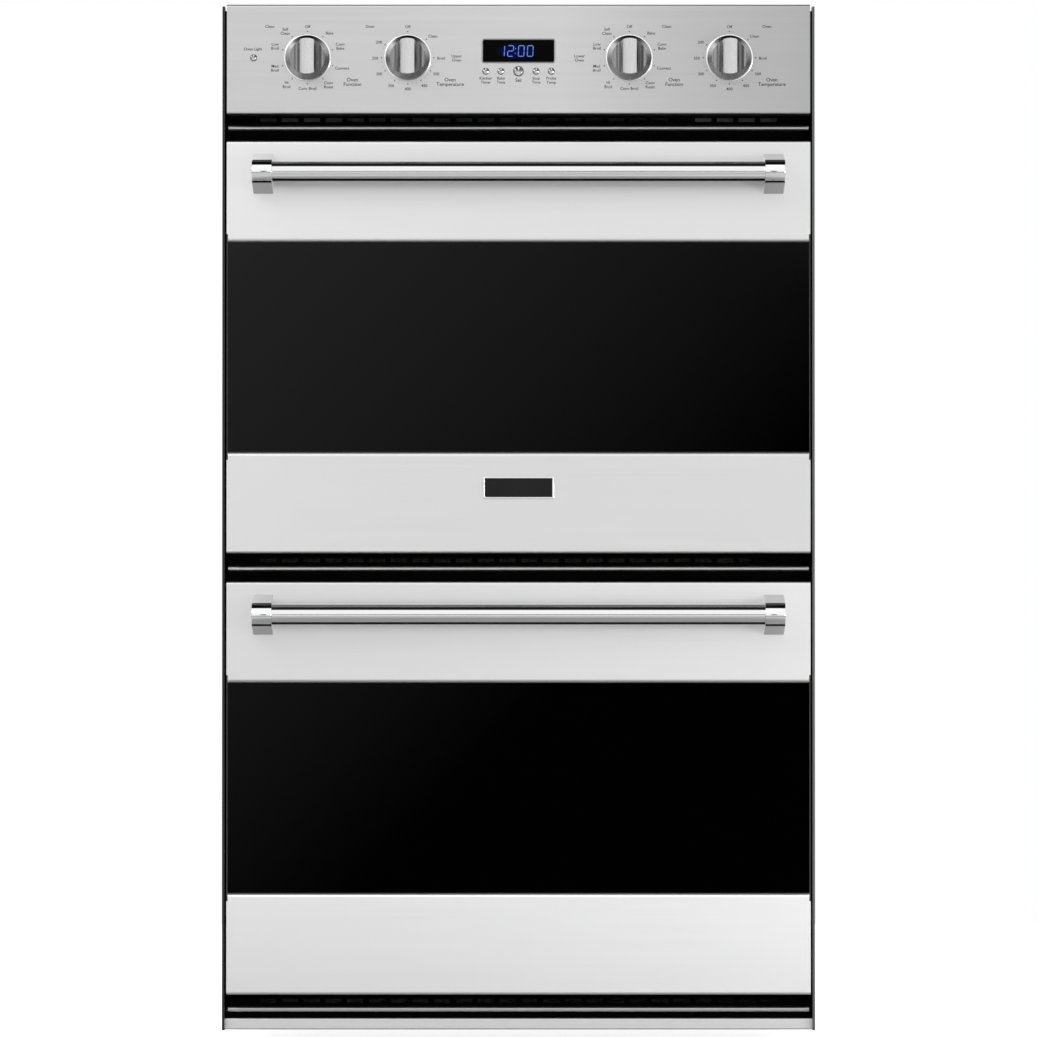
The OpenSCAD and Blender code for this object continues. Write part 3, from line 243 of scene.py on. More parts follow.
def brushed(name, tone, rough, grain=ALONG_X, contrast=0.015, bump=0.02, painted_shading=(), pane=None):
    """Brushed metal: fine lines along the axis with the small scale, and broad soft clouds.

    The slow changes of tone, (axis, ((place, factor), ...)) along Object coordinates, are painted light and
    shade. A painted shade darkens the sheet's front edge beside the pane named."""
    made, s, skin = material(name)
    lines = s.noise(s.coords(grain), 1.0, 4.0, 0.6)
    clouds = s.noise(s.coords((2.2, 2.2, 2.2)), 1.0, 2.0)
    mixed = s.math("ADD", s.math("MULTIPLY", lines, 0.6), s.math("MULTIPLY", clouds, 0.4))
    colour = s.ramp(mixed, [(0.3, tone - contrast), (0.7, tone + contrast)])
    where = s.xyz(s.coords())
    # painted light and shade: slow changes of tone along Object coordinates
    for axis, stops in painted_shading:
        first, last = stops[0][0], stops[-1][0]
        along = s.span(where[axis], first, last, smooth=False)
        factor = s.ramp(along, [((at - first) / (last - first), value) for at, value in stops])
        colour = s.mix(1.0, colour, factor, "MULTIPLY")
    # painted shade: the sheet's front edge beside the pane goes dark
    if pane:
        low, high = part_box(pane)
        inside = s.math("MULTIPLY", s.math("GREATER_THAN", where[2], low.z),
                        s.math("LESS_THAN", where[2], high.z))
        aside = s.math("GREATER_THAN", s.math("ABSOLUTE", where[0]), high.x - 0.2 * MM)
        front = s.math("LESS_THAN", where[1], DOOR_PLANE + 0.4 * MM)
        edge = s.math("MULTIPLY", inside, s.math("MULTIPLY", aside, front))
        colour = s.mix(s.math("MULTIPLY", edge, 0.93), colour, (0.0, 0.0, 0.0))
    s.link(colour, skin.inputs["Base Color"])
    s.link(s.span(lines, 0.25, 0.75, rough - 0.03, rough + 0.03), skin.inputs["Roughness"])
    skin.inputs["Metallic"].default_value = 1.0
    s.link(s.bump(lines, bump, 0.0001), skin.inputs["Normal"])
    return made


def flecked(name, base, fleck, rough, scale=900.0, amount=0.62, metallic=0.0, bump=0.1, coat=0.0,
            shine=0.5, clear=0.0):
    """Enamel, paint, plastic or glass: a base colour with small flecks, and slow waves in the gloss."""
    made, s, skin = material(name)
    fine = s.noise(s.coords((scale,) * 3), 1.0, 2.0)
    slow = s.noise(s.coords((9.0,) * 3), 1.0, 2.0)
    s.link(s.mix(s.span(fine, amount - 0.04, amount + 0.06), base, fleck), skin.inputs["Base Color"])
    s.link(s.span(slow, 0.3, 0.7, rough * 0.85, rough * 1.15), skin.inputs["Roughness"])
    skin.inputs["Metallic"].default_value = metallic
    skin.inputs["Coat Weight"].default_value = coat
    skin.inputs["Specular IOR Level"].default_value = shine
    skin.inputs["Transmission Weight"].default_value = clear
    if bump:
        s.link(s.bump(fine, bump, 0.0001), skin.inputs["Normal"])
    return made, s, skin


def speckled(name, *colours_and_rough, **values):
    """A flecked material that needs nothing more."""
    return flecked(name, *colours_and_rough, **values)[0]


def around(s):
    """From a piece's face map: across, up, the distance from the middle, and the angle.

    The angle is 0.5 straight across and 0.75 straight up."""
    face = s.node("ShaderNodeUVMap", uv_map="face").outputs[0]
    u, v, _ = s.xyz(face)
    far = s.length(u, v)
    angle = s.span(s.math("ARCTAN2", v, u), -math.pi, math.pi, smooth=False)
    return u, v, far, angle


def painted(s, skin, tone, lines, darkest=0.96):
    """Bare metal in the tone given, with fine lines no darker than darkest of it."""
    colour = s.mix(1.0, tone, s.ramp(lines, [(0.3, darkest), (0.7, 1.0)]), "MULTIPLY")
    s.link(colour, skin.inputs["Base Color"])
    skin.inputs["Metallic"].default_value = 1.0


def knob_finish():
    """A turned cone with painted reflections: a sheen that goes round with the angle, and bands along the
    grip and its scoops.
    """
    made, s, skin = material("knob_metal")
    u, _, far, angle = around(s)
    # painted reflection: the cone's sheen, bright and dark round the angle
    painted_sweep = s.ramp(angle, [(0.0, 0.34), (0.08, 0.40), (0.17, 0.50), (0.25, 0.42), (0.36, 0.22), (0.45, 0.18),
                           (0.5, 0.26), (0.57, 0.45), (0.65, 0.55), (0.69, 0.28), (0.71, 0.06), (0.79, 0.05),
                           (0.815, 0.3), (0.84, 0.6), (0.885, 0.98), (0.93, 0.62), (1.0, 0.34)])
    # painted reflections in bands across the grip and its scoops
    drawn = s.ramp(s.span(u, -1.0, 1.0, smooth=False),
                   [(0.075, 0.34), (0.14, 0.20), (0.19, 0.34), (0.225, 0.14), (0.25, 0.42), (0.275, 0.30),
                    (0.30, 0.22), (0.335, 0.44), (0.40, 0.66), (0.55, 0.74), (0.655, 0.70), (0.665, 0.10),
                    (0.69, 0.10), (0.72, 0.26), (0.75, 0.22), (0.78, 0.08), (0.81, 0.07), (0.84, 0.20),
                    (0.9, 0.15), (1.0, 0.2)])
    lines = s.noise(s.coords((1500.0, 1500.0, 60.0)), 1.0, 2.0)
    tone = s.mix(s.span(far, DRUM_SHARE - 0.02, DRUM_SHARE + 0.02), drawn, painted_sweep)
    painted(s, skin, tone, lines, 0.95)
    s.link(s.span(lines, 0.3, 0.7, 0.24, 0.28), skin.inputs["Roughness"])
    return made


def button_finish():
    """A turned dome with painted highlights and shade: bright and dark wedges round the middle, and a dark
    rim.
    """
    made, s, skin = material("button_chrome")
    _, _, far, angle = around(s)
    # painted highlights and shade in wedges round the dome
    painted_wedges = s.ramp(angle, [(0.0, 0.40), (0.12, 0.62), (0.25, 0.85), (0.38, 0.62), (0.5, 0.30), (0.57, 0.12),
                           (0.66, 0.12), (0.70, 0.30), (0.725, 0.95), (0.77, 0.95), (0.79, 0.2), (0.82, 0.03),
                           (0.89, 0.03), (0.93, 0.3), (1.0, 0.40)])
    grain = s.noise(s.coords((1200.0,) * 3), 1.0, 2.0)
    # painted shade: the dark rim round the dome
    painted(s, skin, s.mix(s.span(far, 0.78, 0.92), painted_wedges, (0.09, 0.09, 0.09)), grain, 0.92)
    s.link(s.span(grain, 0.3, 0.7, 0.14, 0.2), skin.inputs["Roughness"])
    return made


def tube_finish():
    """Polished pipe drawn along X with painted reflections: bright in front, dim on top, nearly black
    underneath.
    """
    made, s, skin = material("tube_stainless")
    angle = around(s)[3]
    lines = s.noise(s.coords(ALONG_X), 1.0, 4.0, 0.6)
    # painted reflections in bands round the pipe
    tone = s.ramp(angle, [(0.2, 0.03), (0.362, 0.03), (0.372, 0.97), (0.425, 0.97), (0.444, 0.70),
                          (0.473, 0.62), (0.482, 0.97), (0.51, 0.86), (0.572, 0.86), (0.581, 0.12),
                          (0.62, 0.3), (0.65, 0.4), (0.75, 0.3), (0.9, 0.6)])
    painted(s, skin, tone, lines)
    s.link(s.span(lines, 0.25, 0.75, 0.06, 0.11), skin.inputs["Roughness"])
    s.link(s.bump(lines, 0.01, 0.0001), skin.inputs["Normal"])
    return made


def post_finish():
    """Polished cast metal with painted reflections in bands up the post: dim feet, a bright barrel, dark
    between.
    """
    made, s, skin = material("post_chrome")
    v = around(s)[1]
    # painted reflections in bands up the post
    tone = s.ramp(s.span(v, -2.0, 2.0, smooth=False),
                  [(0.0, 0.35), (0.255, 0.35), (0.262, 0.05), (0.29, 0.05), (0.30, 0.95), (0.35, 0.95),
                   (0.41, 0.78), (0.455, 0.74), (0.47, 0.40), (0.487, 0.90), (0.632, 0.94), (0.642, 0.10),
                   (0.733, 0.10), (0.745, 0.35), (0.76, 0.39), (1.0, 0.39)])
    lines = s.noise(s.coords(ALONG_X), 1.0, 4.0, 0.6)
    painted(s, skin, tone, lines)
    s.link(s.span(lines, 0.25, 0.75, 0.05, 0.09), skin.inputs["Roughness"])
    return made


def braid_finish():
    """Woven glass yarn: two sets of strands crossing, from the map's way along and way round."""
    made, s, skin = material("gasket_braid")
    u, v, _ = s.xyz(s.node("ShaderNodeUVMap", uv_map="face").outputs[0])
    turn = 2 * math.pi
    along, about = s.math("MULTIPLY", u, 4 * turn), s.math("MULTIPLY", v, 6 * turn)
    left = s.math("SINE", s.math("ADD", along, about))
    right = s.math("SINE", s.math("SUBTRACT", along, about))
    weave = s.math("MAXIMUM", left, right)
    s.link(s.ramp(s.span(weave, -1.0, 1.0), [(0.2, (0.05, 0.05, 0.05)), (0.9, (0.34, 0.33, 0.31))]),
           skin.inputs["Base Color"])
    skin.inputs["Roughness"].default_value = 0.85
    s.link(s.bump(weave, 0.8, 0.0004), skin.inputs["Normal"])
    return made


def clock_glass():
    """Black glass with a dark blue glow round the lit figures, fading with the distance from their middle."""
    made, s, skin = flecked("clock_glass", (0.0005,) * 3, (0.001,) * 3, 0.05, bump=0.0, shine=0.04)
    wide, tall = GLOW_SIZE
    x, _, z = s.xyz(s.coords((1 / wide, 1.0, 1 / tall), (-CLOCK_MID.x / wide, 0, -CLOCK_MID.z / tall)))
    near = s.length(x, z)
    uneven = s.noise(s.coords((300.0,) * 3), 1.0, 2.0)
    glow = s.math("MULTIPLY", s.span(near, 0.55, 1.15, 1.0, 0.0), s.span(uneven, 0.2, 0.8, 0.6, 1.0))
    s.link(s.mix(glow, (0.0, 0.0, 0.0), (0.0, 0.003, 0.07)), skin.inputs["Emission Color"])
    skin.inputs["Emission Strength"].default_value = 1.0
    return made


def digit_light():
    """Lit figures: a pale blue glow, a little uneven."""
    made, s, skin = material("digit_light")
    uneven = s.noise(s.coords((400.0,) * 3), 1.0, 1.0)
    s.link(s.mix(uneven, (0.08, 0.17, 0.55), (0.16, 0.34, 0.8)), skin.inputs["Emission Color"])
    skin.inputs["Emission Strength"].default_value = 1.0
    skin.inputs["Base Color"].default_value = (0.0, 0.0, 0.02, 1)
    return made


DRUM_SHARE = 0.8            # the knob's round body over its skirt
PANEL_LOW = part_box("control_panel")[0].z
BEAD_LOWS = (0.0221, 0.5798, 1.1386)    # the underside of each vent trim, with a painted highlight low down
# painted highlight just above each vent trim's underside, painted shade higher up
BEAD_PAINTED_LIGHT = tuple((z + rise, factor) for z in BEAD_LOWS for rise, factor in ((0.0015, 1.9), (0.0042, 0.8)))
GLOW_SIZE = 24.0 * MM, 10.0 * MM        # half the lit area behind the clock's figures
CLOCK_MID = (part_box("display_window")[0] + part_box("display_window")[1]) / 2 + Vector((-3.0 * MM, 0, 0))
# Each stainless part has its own base tone and tone ramps along X and Z: painted light and shade for how each
# part is lit.
finishes = {
    "brushed_stainless": brushed("upper_door_stainless", 0.79, 0.34, painted_shading=(
        (0, ((-0.37, 1.02), (0.37, 0.95))), (2, ((0.6, 0.92), (0.73, 0.92), (1.0, 0.97), (1.13, 0.97)))),
        pane="upper_door_glass"),
    "lower_door_stainless": brushed("lower_door_stainless", 0.85, 0.34, painted_shading=(
        (0, ((-0.37, 0.96), (0.37, 1.04))), (2, ((0.0, 1.12), (0.17, 1.12), (0.45, 0.91), (0.57, 0.91)))),
        pane="lower_door_glass"),
    "panel_stainless": brushed("panel_stainless", 0.525, 0.34, painted_shading=(
        (0, ((-0.37, 1.06), (0.05, 1.16), (0.2, 0.96), (0.37, 0.81))),
        # painted shade: the panel's underside lip is near black
        (2, ((PANEL_LOW + 0.2 * MM, 0.04), (PANEL_LOW + 1.4 * MM, 1.0), (PANEL_LOW + 0.14, 1.0))))),
    "trim_stainless": brushed("trim_stainless", 0.5, 0.34, painted_shading=((2, BEAD_PAINTED_LIGHT),)),
    "base_stainless": brushed("base_stainless", 0.96, 0.3),
    # painted shade: the side trims are dark, darker on the left than the right
    "side_stainless": brushed("side_stainless", 0.15, 0.3, ALONG_Z, painted_shading=(
        (0, ((-0.37, 0.32), (0.37, 0.96))),)),
    "tube_stainless": tube_finish(),
    "post_chrome": post_finish(),
    "knob_metal": knob_finish(),
    "bezel_chrome": brushed("bezel_chrome", 0.92, 0.12, bump=0.005),
    "clock_lip": brushed("clock_lip", 0.3, 0.3),
    "button_chrome": button_finish(),
    "black_glass": speckled("black_glass", (0.0003,) * 3, (0.0006,) * 3, 0.03, bump=0.0),
    "clock_glass": clock_glass(),
    "clear_glass": speckled("clear_glass", (0.9, 0.93, 0.92), (0.95, 0.97, 0.96), 0.02, bump=0.0, clear=1.0),
    "lamp_glass": speckled("lamp_glass", (0.8, 0.79, 0.76), (0.92, 0.91, 0.88), 0.15, clear=0.25),
    "black_enamel": speckled("black_enamel", (0.0006,) * 3, (0.0012,) * 3, 0.45, shine=0.015, bump=0.05),
    "blue_grey_enamel": speckled("blue_grey_enamel", (0.03, 0.04, 0.06), (0.25, 0.28, 0.33), 0.22, coat=0.4),
    "galvanised_steel": speckled("galvanised_steel", (0.57, 0.59, 0.6), (0.63, 0.65, 0.67), 0.42, 110, 0.5,
                                 0.9),
    "plated_wire": brushed("plated_wire", 0.8, 0.15),
    "element_sheath": speckled("element_sheath", (0.06, 0.055, 0.05), (0.13, 0.12, 0.11), 0.5, metallic=0.6),
    "fibreglass": speckled("fibreglass", (0.05, 0.045, 0.03), (0.11, 0.1, 0.07), 0.9, 300, 0.5, bump=0.6),
    "gasket_braid": braid_finish(),
    "motor_steel": speckled("motor_steel", (0.3, 0.3, 0.31), (0.42, 0.42, 0.43), 0.4, metallic=0.9),
    "board_green": speckled("board_green", (0.01, 0.12, 0.05), (0.03, 0.2, 0.08), 0.35),
    "black_plastic": speckled("black_plastic", (0.015,) * 3, (0.03,) * 3, 0.45),
    "hinge_steel": speckled("hinge_steel", (0.4, 0.4, 0.4), (0.5, 0.5, 0.5), 0.35, metallic=1.0),
    "badge_metal": brushed("badge_metal", 0.85, 0.25),
    "badge_field": speckled("badge_field", (0.002,) * 3, (0.006,) * 3, 0.3, shine=0.25, coat=0.2),
    "legend_ink": speckled("legend_ink", (0.01,) * 3, (0.03,) * 3, 0.6, shine=0.1),
    "digit_light": digit_light(),
}
OWN_FINISH = {"control_panel": "panel_stainless", "display_window": "clock_glass",
              "side_trims": "side_stainless", "lower_door_skin": "lower_door_stainless",
              "bottom_trim": "base_stainless"}


def dress():
    """Gives each CAD node its finish: its own one, or its material slot's."""
    slot_of = {row["node"]: row["material_slot"] for row in frame["record"]["subparts"]}
    for name, obj in NODES.items():
        finish = finishes[OWN_FINISH.get(name, slot_of[name])]
        for slot in obj.material_slots:
            slot.material = finish


dress()


# ---------------------------------------------------------------- making pieces

def face_map(mesh, centre, radius, across=(1, 0, 0), up=(0, 0, 1)):
    """A map of the way across and up from the centre, in radii."""
    layer = mesh.uv_layers.new(name="face")
    co = np.zeros(len(mesh.vertices) * 3)
    mesh.vertices.foreach_get("co", co)
    corners = np.zeros(len(mesh.loops), int)
    mesh.loops.foreach_get("vertex_index", corners)
    at = co.reshape(-1, 3)[corners]
    flat = (at - np.asarray(centre)) @ np.array([across, up]).T / radius
    layer.data.foreach_set("uv", flat.ravel())


def piece(name, points, faces, finish, body, replaces=(), sharp=35.0):
    """Puts numpy points and faces into a mesh, merges what meets, turns faces outwards and rides a body."""
    mesh = bpy.data.meshes.new(name)
    mesh.from_pydata(np.asarray(points, float).reshape(-1, 3).tolist(), [], [list(f) for f in faces])
    work = bmesh.new()
    work.from_mesh(mesh)
    bmesh.ops.remove_doubles(work, verts=work.verts, dist=1e-6)
    bmesh.ops.recalc_face_normals(work, faces=work.faces)
    work.to_mesh(mesh)
    work.free()
    mesh.polygons.foreach_set("use_smooth", np.ones(len(mesh.polygons), bool))
    mesh.set_sharp_from_angle(angle=math.radians(sharp))
    mesh.materials.append(finish)
    obj = bpy.data.objects.new(name, mesh)
    bpy.context.scene.collection.objects.link(obj)
    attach(obj, body)
    if replaces:
        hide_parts(*replaces)
    return obj


def net(rows, cols, wrap_rows=False, wrap_cols=True, start=0):
    """Quads between neighbours on a grid of rows by cols points."""
    i, j = np.meshgrid(np.arange(rows if wrap_rows else rows - 1), np.arange(cols if wrap_cols else cols - 1),
                       indexing="ij")
    i2, j2 = (i + 1) % rows, (j + 1) % cols
    quads = np.stack([i * cols + j, i * cols + j2, i2 * cols + j2, i2 * cols + j], -1).reshape(-1, 4)
    return (quads + start).tolist()


def join(parts):
    """Joins (points, faces) pairs into one."""
    points, faces, n = [], [], 0
    for p, f in parts:
        p = np.asarray(p).reshape(-1, 3)
        points.append(p)
        faces += [[k + n for k in face] for face in f]
        n += len(p)
    return np.concatenate(points), faces


def turned(profile, centre, axis, segments=64, ring=False):
    """A turned shape: at angle a round the axis, a profile point (r, h) is r outwards and h along the axis.

    ring joins the profile's last point to its first."""
    profile = np.asarray(profile, float)
    a = np.linspace(0, 2 * np.pi, segments, endpoint=False)
    out = np.stack([np.outer(profile[:, 0], np.cos(a)), np.outer(profile[:, 0], np.sin(a)),
                    np.repeat(profile[:, 1:2], segments, 1)], -1)
    turn = {"x": (2, 0, 1), "y": (0, 2, 1), "z": (0, 1, 2)}[axis]
    grid = out[..., turn] + np.asarray(centre)
    return grid.reshape(-1, 3), net(len(profile), segments, wrap_rows=ring)


def arc(cx, cy, r, a0, a1, n):
    """Points (cx + r cos a, cy + r sin a) for n angles from a0 to a1 degrees."""
    a = np.radians(np.linspace(a0, a1, n))
    return np.stack([cx + r * np.cos(a), cy + r * np.sin(a)], -1)


def round_loop(half_w, half_h, r, n=10):
    """A rectangle's outline with round corners in (x, z), and its outward normals, as two arrays."""
    points, normals = [], []
    for k, (sx, sz) in enumerate(((1, 1), (-1, 1), (-1, -1), (1, -1))):
        a = np.radians(np.linspace(90 * k, 90 * k + 90, n))
        unit = np.stack([np.cos(a), np.sin(a)], -1)
        points.append([sx * (half_w - r), sz * (half_h - r)] + r * unit)
        normals.append(unit)
    return np.concatenate(points), np.concatenate(normals)


def framed(loop, normals, section, centre):
    """A section (out, y) carried round a loop in (x, z): each point is the loop's, moved along its normal."""
    section = np.asarray(section, float)
    flat = loop[:, None, :] + section[None, :, 0:1] * normals[:, None, :]
    y = np.broadcast_to(section[None, :, 1], flat.shape[:2])
    grid = np.stack([flat[..., 0] + centre[0], y + centre[1], flat[..., 1] + centre[2]], -1)
    return grid.reshape(-1, 3), net(len(loop), len(section), wrap_rows=True)


def middle(node):
    """The middle of a node's box."""
    low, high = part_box(node)
    return (low + high) / 2


def refined(node, name, bevel, finish, body, angle=30.0, segments=3):
    """A merged copy of a CAD node with its sharp edges rounded by a bevel modifier."""
    mesh = NODES[node].data.copy()
    mesh.name = name
    work = bmesh.new()
    work.from_mesh(mesh)
    for layer in list(work.loops.layers.float_vector):
        work.loops.layers.float_vector.remove(layer)
    bmesh.ops.remove_doubles(work, verts=work.verts, dist=2e-6)
    bmesh.ops.dissolve_limit(work, angle_limit=math.radians(0.5), verts=work.verts, edges=work.edges)
    work.to_mesh(mesh)
    work.free()
    if "custom_normal" in mesh.attributes:
        mesh.attributes.remove(mesh.attributes["custom_normal"])
    mesh.materials.clear()
    mesh.materials.append(finish)
    mesh.polygons.foreach_set("use_smooth", np.ones(len(mesh.polygons), bool))
    mesh.set_sharp_from_angle(angle=math.radians(angle))
    obj = bpy.data.objects.new(name, mesh)
    bpy.context.scene.collection.objects.link(obj)
    mod = obj.modifiers.new("rounded_edges", "BEVEL")
    mod.limit_method = "ANGLE"
    mod.angle_limit = math.radians(angle)
    mod.width = bevel
    mod.segments = segments
    mod.harden_normals = True
    mod.miter_outer = "MITER_ARC"
    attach(obj, body)
    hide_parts(node)
    return obj


# ---------------------------------------------------------------- handles

TUBE_WALL = 1.5 * MM
FOOT_HALF = 25.2 * MM
BARREL_R = 15.0 * MM
POST_WIDTH = 25.4 * MM
POST_EDGE = 1.1 * MM
PLAIN_SPOT = (1.0, 0.2)     # the place on a post's map that its flat ends take their tone from


def handle_tube(door):
    """A pipe along X: its profile runs along the outside, round the rim, and back along the bore."""
    low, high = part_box(door + "_handle_bar")
    r = (high.z - low.z) / 2
    c = (low + high) / 2
    end = high.x
    outside = [(r, x) for x in np.linspace(-end, end, 5)]
    bore = [(r - TUBE_WALL, x) for x in np.linspace(end, -end, 5)]
    points, faces = turned(outside + bore, (0, c.y, c.z), "x", 96, ring=True)
    tube = piece(door + "_handle_tube", points, faces, finishes["tube_stainless"], door + "_door",
                 (door + "_handle_bar",))
    face_map(tube.data, (0, c.y, c.z), r, across=(0, -1, 0))


def bracket_outline(r, foot, reach):
    """A flared post seen from its end, in (y, z) from the barrel's axis: the barrel's arc, then the foot.

    The straight sides are tangents from the foot's ends to a circle of radius r."""
    touch = math.degrees(math.atan2(foot, reach) + math.acos(r / math.hypot(reach, foot)))
    return np.concatenate([[(reach, foot * k) for k in (-1.0, -0.5, 0.0, 0.5, 1.0)],
                           arc(0, 0, r, touch, 360 - touch, 72)])


def handle_brackets(door):
    """Two posts: the outline carried along X, and drawn in by a quarter round at both ends."""
    bar = middle(door + "_handle_bar")
    reach = DOOR_PLANE - bar.y
    x1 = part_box(door + "_handle_brackets")[1].x
    x0 = x1 - POST_WIDTH
    turn = np.radians(np.linspace(0, 90, 5))
    xs = np.concatenate([x0 + POST_EDGE * (1 - np.sin(turn)), x1 - POST_EDGE * (1 - np.sin(turn[::-1]))])
    inset = np.concatenate([POST_EDGE * (1 - np.cos(turn)), POST_EDGE * (1 - np.cos(turn[::-1]))])
    order = np.argsort(xs, kind="stable")
    rows = []
    for k in order:
        y, z = bracket_outline(BARREL_R - inset[k], FOOT_HALF - inset[k], reach).T
        rows.append(np.column_stack([np.full(len(y), xs[k]), y + bar.y, z + bar.z]))
    cols = len(rows[0])
    for k, x in ((0, x0), (len(rows) + 1, x1)):
        rows.insert(k, np.tile([x, bar.y + reach / 3, bar.z], (cols, 1)))
    grid = np.array(rows)
    post = (grid.reshape(-1, 3), net(len(rows), cols))
    points, faces = join([post, (post[0] * [-1, 1, 1], [f[::-1] for f in post[1]])])
    posts = piece(door + "_handle_posts", points, faces, finishes["post_chrome"], door + "_door",
                  (door + "_handle_brackets",), sharp=30.0)
    face_map(posts.data, (0, bar.y, bar.z), BARREL_R, across=(0, -1, 0))
    plain = np.array([abs(p.normal.x) > 0.9 for p in posts.data.polygons])
    at = np.zeros(len(posts.data.loops) * 2)
    layer = posts.data.uv_layers["face"]
    layer.data.foreach_get("uv", at)
    at = at.reshape(-1, 2)
    at[np.repeat(plain, [p.loop_total for p in posts.data.polygons])] = PLAIN_SPOT
    layer.data.foreach_set("uv", at.ravel())


# ---------------------------------------------------------------- controls

PANEL_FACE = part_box("control_panel")[0].y
KNOBS = ("upper_function_knob", "upper_temperature_knob", "lower_function_knob", "lower_temperature_knob")
BUTTONS = ("lamp_button", "kitchen_timer_button", "bake_time_button", "set_button", "stop_time_button",
           "probe_button")
INK_LIFT = 0.03 * MM
INK_T = 0.05 * MM


def bezels():
    """Flat rings turned about Y, with a round outer edge."""
    parts = []
    low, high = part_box("knob_bezels")
    t = high.y - low.y
    for knob in KNOBS:
        c = middle(knob)
        r = (high.z - low.z) / 2
        edge = t * 0.45
        profile = np.concatenate([[(6 * MM, 0.0), (6 * MM, -t), (r - 3 * MM, -t)],
                                  arc(r - edge, -t + edge, edge, -90, 0, 7), [(r, 0.0)]])
        parts.append(turned(profile, (c.x, high.y, c.z), "y", 96, ring=True))
    points, faces = join(parts)
    piece("knob_rings", points, faces, finishes["bezel_chrome"], "chassis", ("knob_bezels",))


def button_cap(node):
    """A domed cap turned about Y: a collar behind the panel, a straight side, a shoulder, a shallow dome."""
    low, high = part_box(node)
    c = (low + high) / 2
    collar, collar_t = (high.z - low.z) / 2, 1.0 * MM
    r = collar - 1.5 * MM
    top = low.y - high.y
    dome, shoulder = 0.9 * MM, 0.5 * MM
    bend = top + dome + shoulder
    u = np.linspace(0, 1, 9)
    face = np.stack([(r - shoulder) * (1 - u), top + dome * (1 - u) ** 2], -1)
    profile = np.concatenate([[(0.0, 0.0), (collar, 0.0), (collar, -collar_t), (r, -collar_t), (r, bend)],
                              arc(r - shoulder, bend, shoulder, 0, -90, 6)[1:], face[1:]])
    points, faces = turned(profile, (c.x, high.y, c.z), "y", 48)
    cap = piece(node.replace("_button", "_button_cap"), points, faces, finishes["button_chrome"], node,
                (node,), sharp=40.0)
    face_map(cap.data, c, r)


def knob_caps():
    """The four knobs with their edges rounded, each mapped from its own axis."""
    for node in KNOBS:
        low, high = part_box(node)
        cap = refined(node, node.replace("_knob", "_knob_cap"), 0.45 * MM, finishes["knob_metal"], node,
                      28.0)
        face_map(cap.data, middle(node), (high.z - low.z) / 2)


def words(text, x, z, size=5.2 * MM, pitch=5.2 * MM):
    """Flat lettering as (points, faces): the letters' meshes, turned to face -Y and centred on (x, z)."""
    curve = bpy.data.curves.new("lettering", "FONT")
    curve.body = text
    curve.size = size
    curve.align_x, curve.align_y = "CENTER", "CENTER"
    curve.space_line = pitch / size
    curve.offset = 0.01 * size
    curve.extrude = INK_T / 2
    curve.resolution_u = 3
    obj = bpy.data.objects.new("lettering", curve)
    bpy.context.scene.collection.objects.link(obj)
    bpy.context.view_layer.update()
    mesh = bpy.data.meshes.new_from_object(obj.evaluated_get(bpy.context.evaluated_depsgraph_get()))
    co = np.zeros(len(mesh.vertices) * 3)
    mesh.vertices.foreach_get("co", co)
    co = co.reshape(-1, 3)
    faces = [list(p.vertices) for p in mesh.polygons]
    bpy.data.objects.remove(obj)
    bpy.data.curves.remove(curve)
    bpy.data.meshes.remove(mesh)
    points = np.column_stack([co[:, 0] + x, PANEL_FACE - INK_LIFT - co[:, 2], co[:, 1] + z])
    return points, faces


def dot(x, z, r):
    """A printed dot: a thin round plate turned about Y."""
    centre = (x, PANEL_FACE - INK_LIFT + INK_T / 2, z)
    return turned([(0, 0), (r, 0), (r, -INK_T), (0, -INK_T)], centre, "y", 12)


DOT_RING = 33.0 * MM
# words round a knob: text, then (x, z) from the knob's axis in mm
FUNCTION_WORDS = (("Off", 0, 39), ("Bake", 27.7, 30.9), ("Conv\nBake", 41.2, 14.3), ("Convect", 43.6, -13.4),
                  ("Conv\nRoast", 26.4, -34.4), ("Conv Broil", 0, -39), ("Hi\nBroil", -26.5, -34.2),
                  ("Med\nBroil", -41.1, -13.4), ("Low\nBroil", -40.9, 14.4), ("Self\nClean", -28.2, 33.2))
FUNCTION_DOTS = range(0, 360, 36)
HEAT_WORDS = (("Off", 0, 38.9), ("Clean", 31.6, 27.0), ("Broil", 42.0, -0.8), ("500", 36.0, -20.6),
              ("450", 20.9, -35.5), ("400", 0, -39.6), ("350", -21.0, -35.5), ("300", -36.0, -20.6),
              ("250", -41.4, -0.8), ("200", -36.3, 19.5))
HEAT_DOTS = (0, 45, 90, 120, 150, 180, 210, 240, 270, 300)
BIG_WORD, BIG_PITCH = 6.5 * MM, 5.7 * MM


def dial_legend(knob, entries, dots, small_dots=()):
    """Words round a knob, with dots on a ring at clockwise angles from the top."""
    c = middle(knob)
    parts = [words(text, c.x + x * MM, c.z + z * MM) for text, x, z in entries]
    for angles, r in ((dots, 0.8 * MM), (small_dots, 0.36 * MM)):
        for degrees in angles:
            a = math.radians(degrees)
            parts.append(dot(c.x + DOT_RING * math.sin(a), c.z + DOT_RING * math.cos(a), r))
    return parts


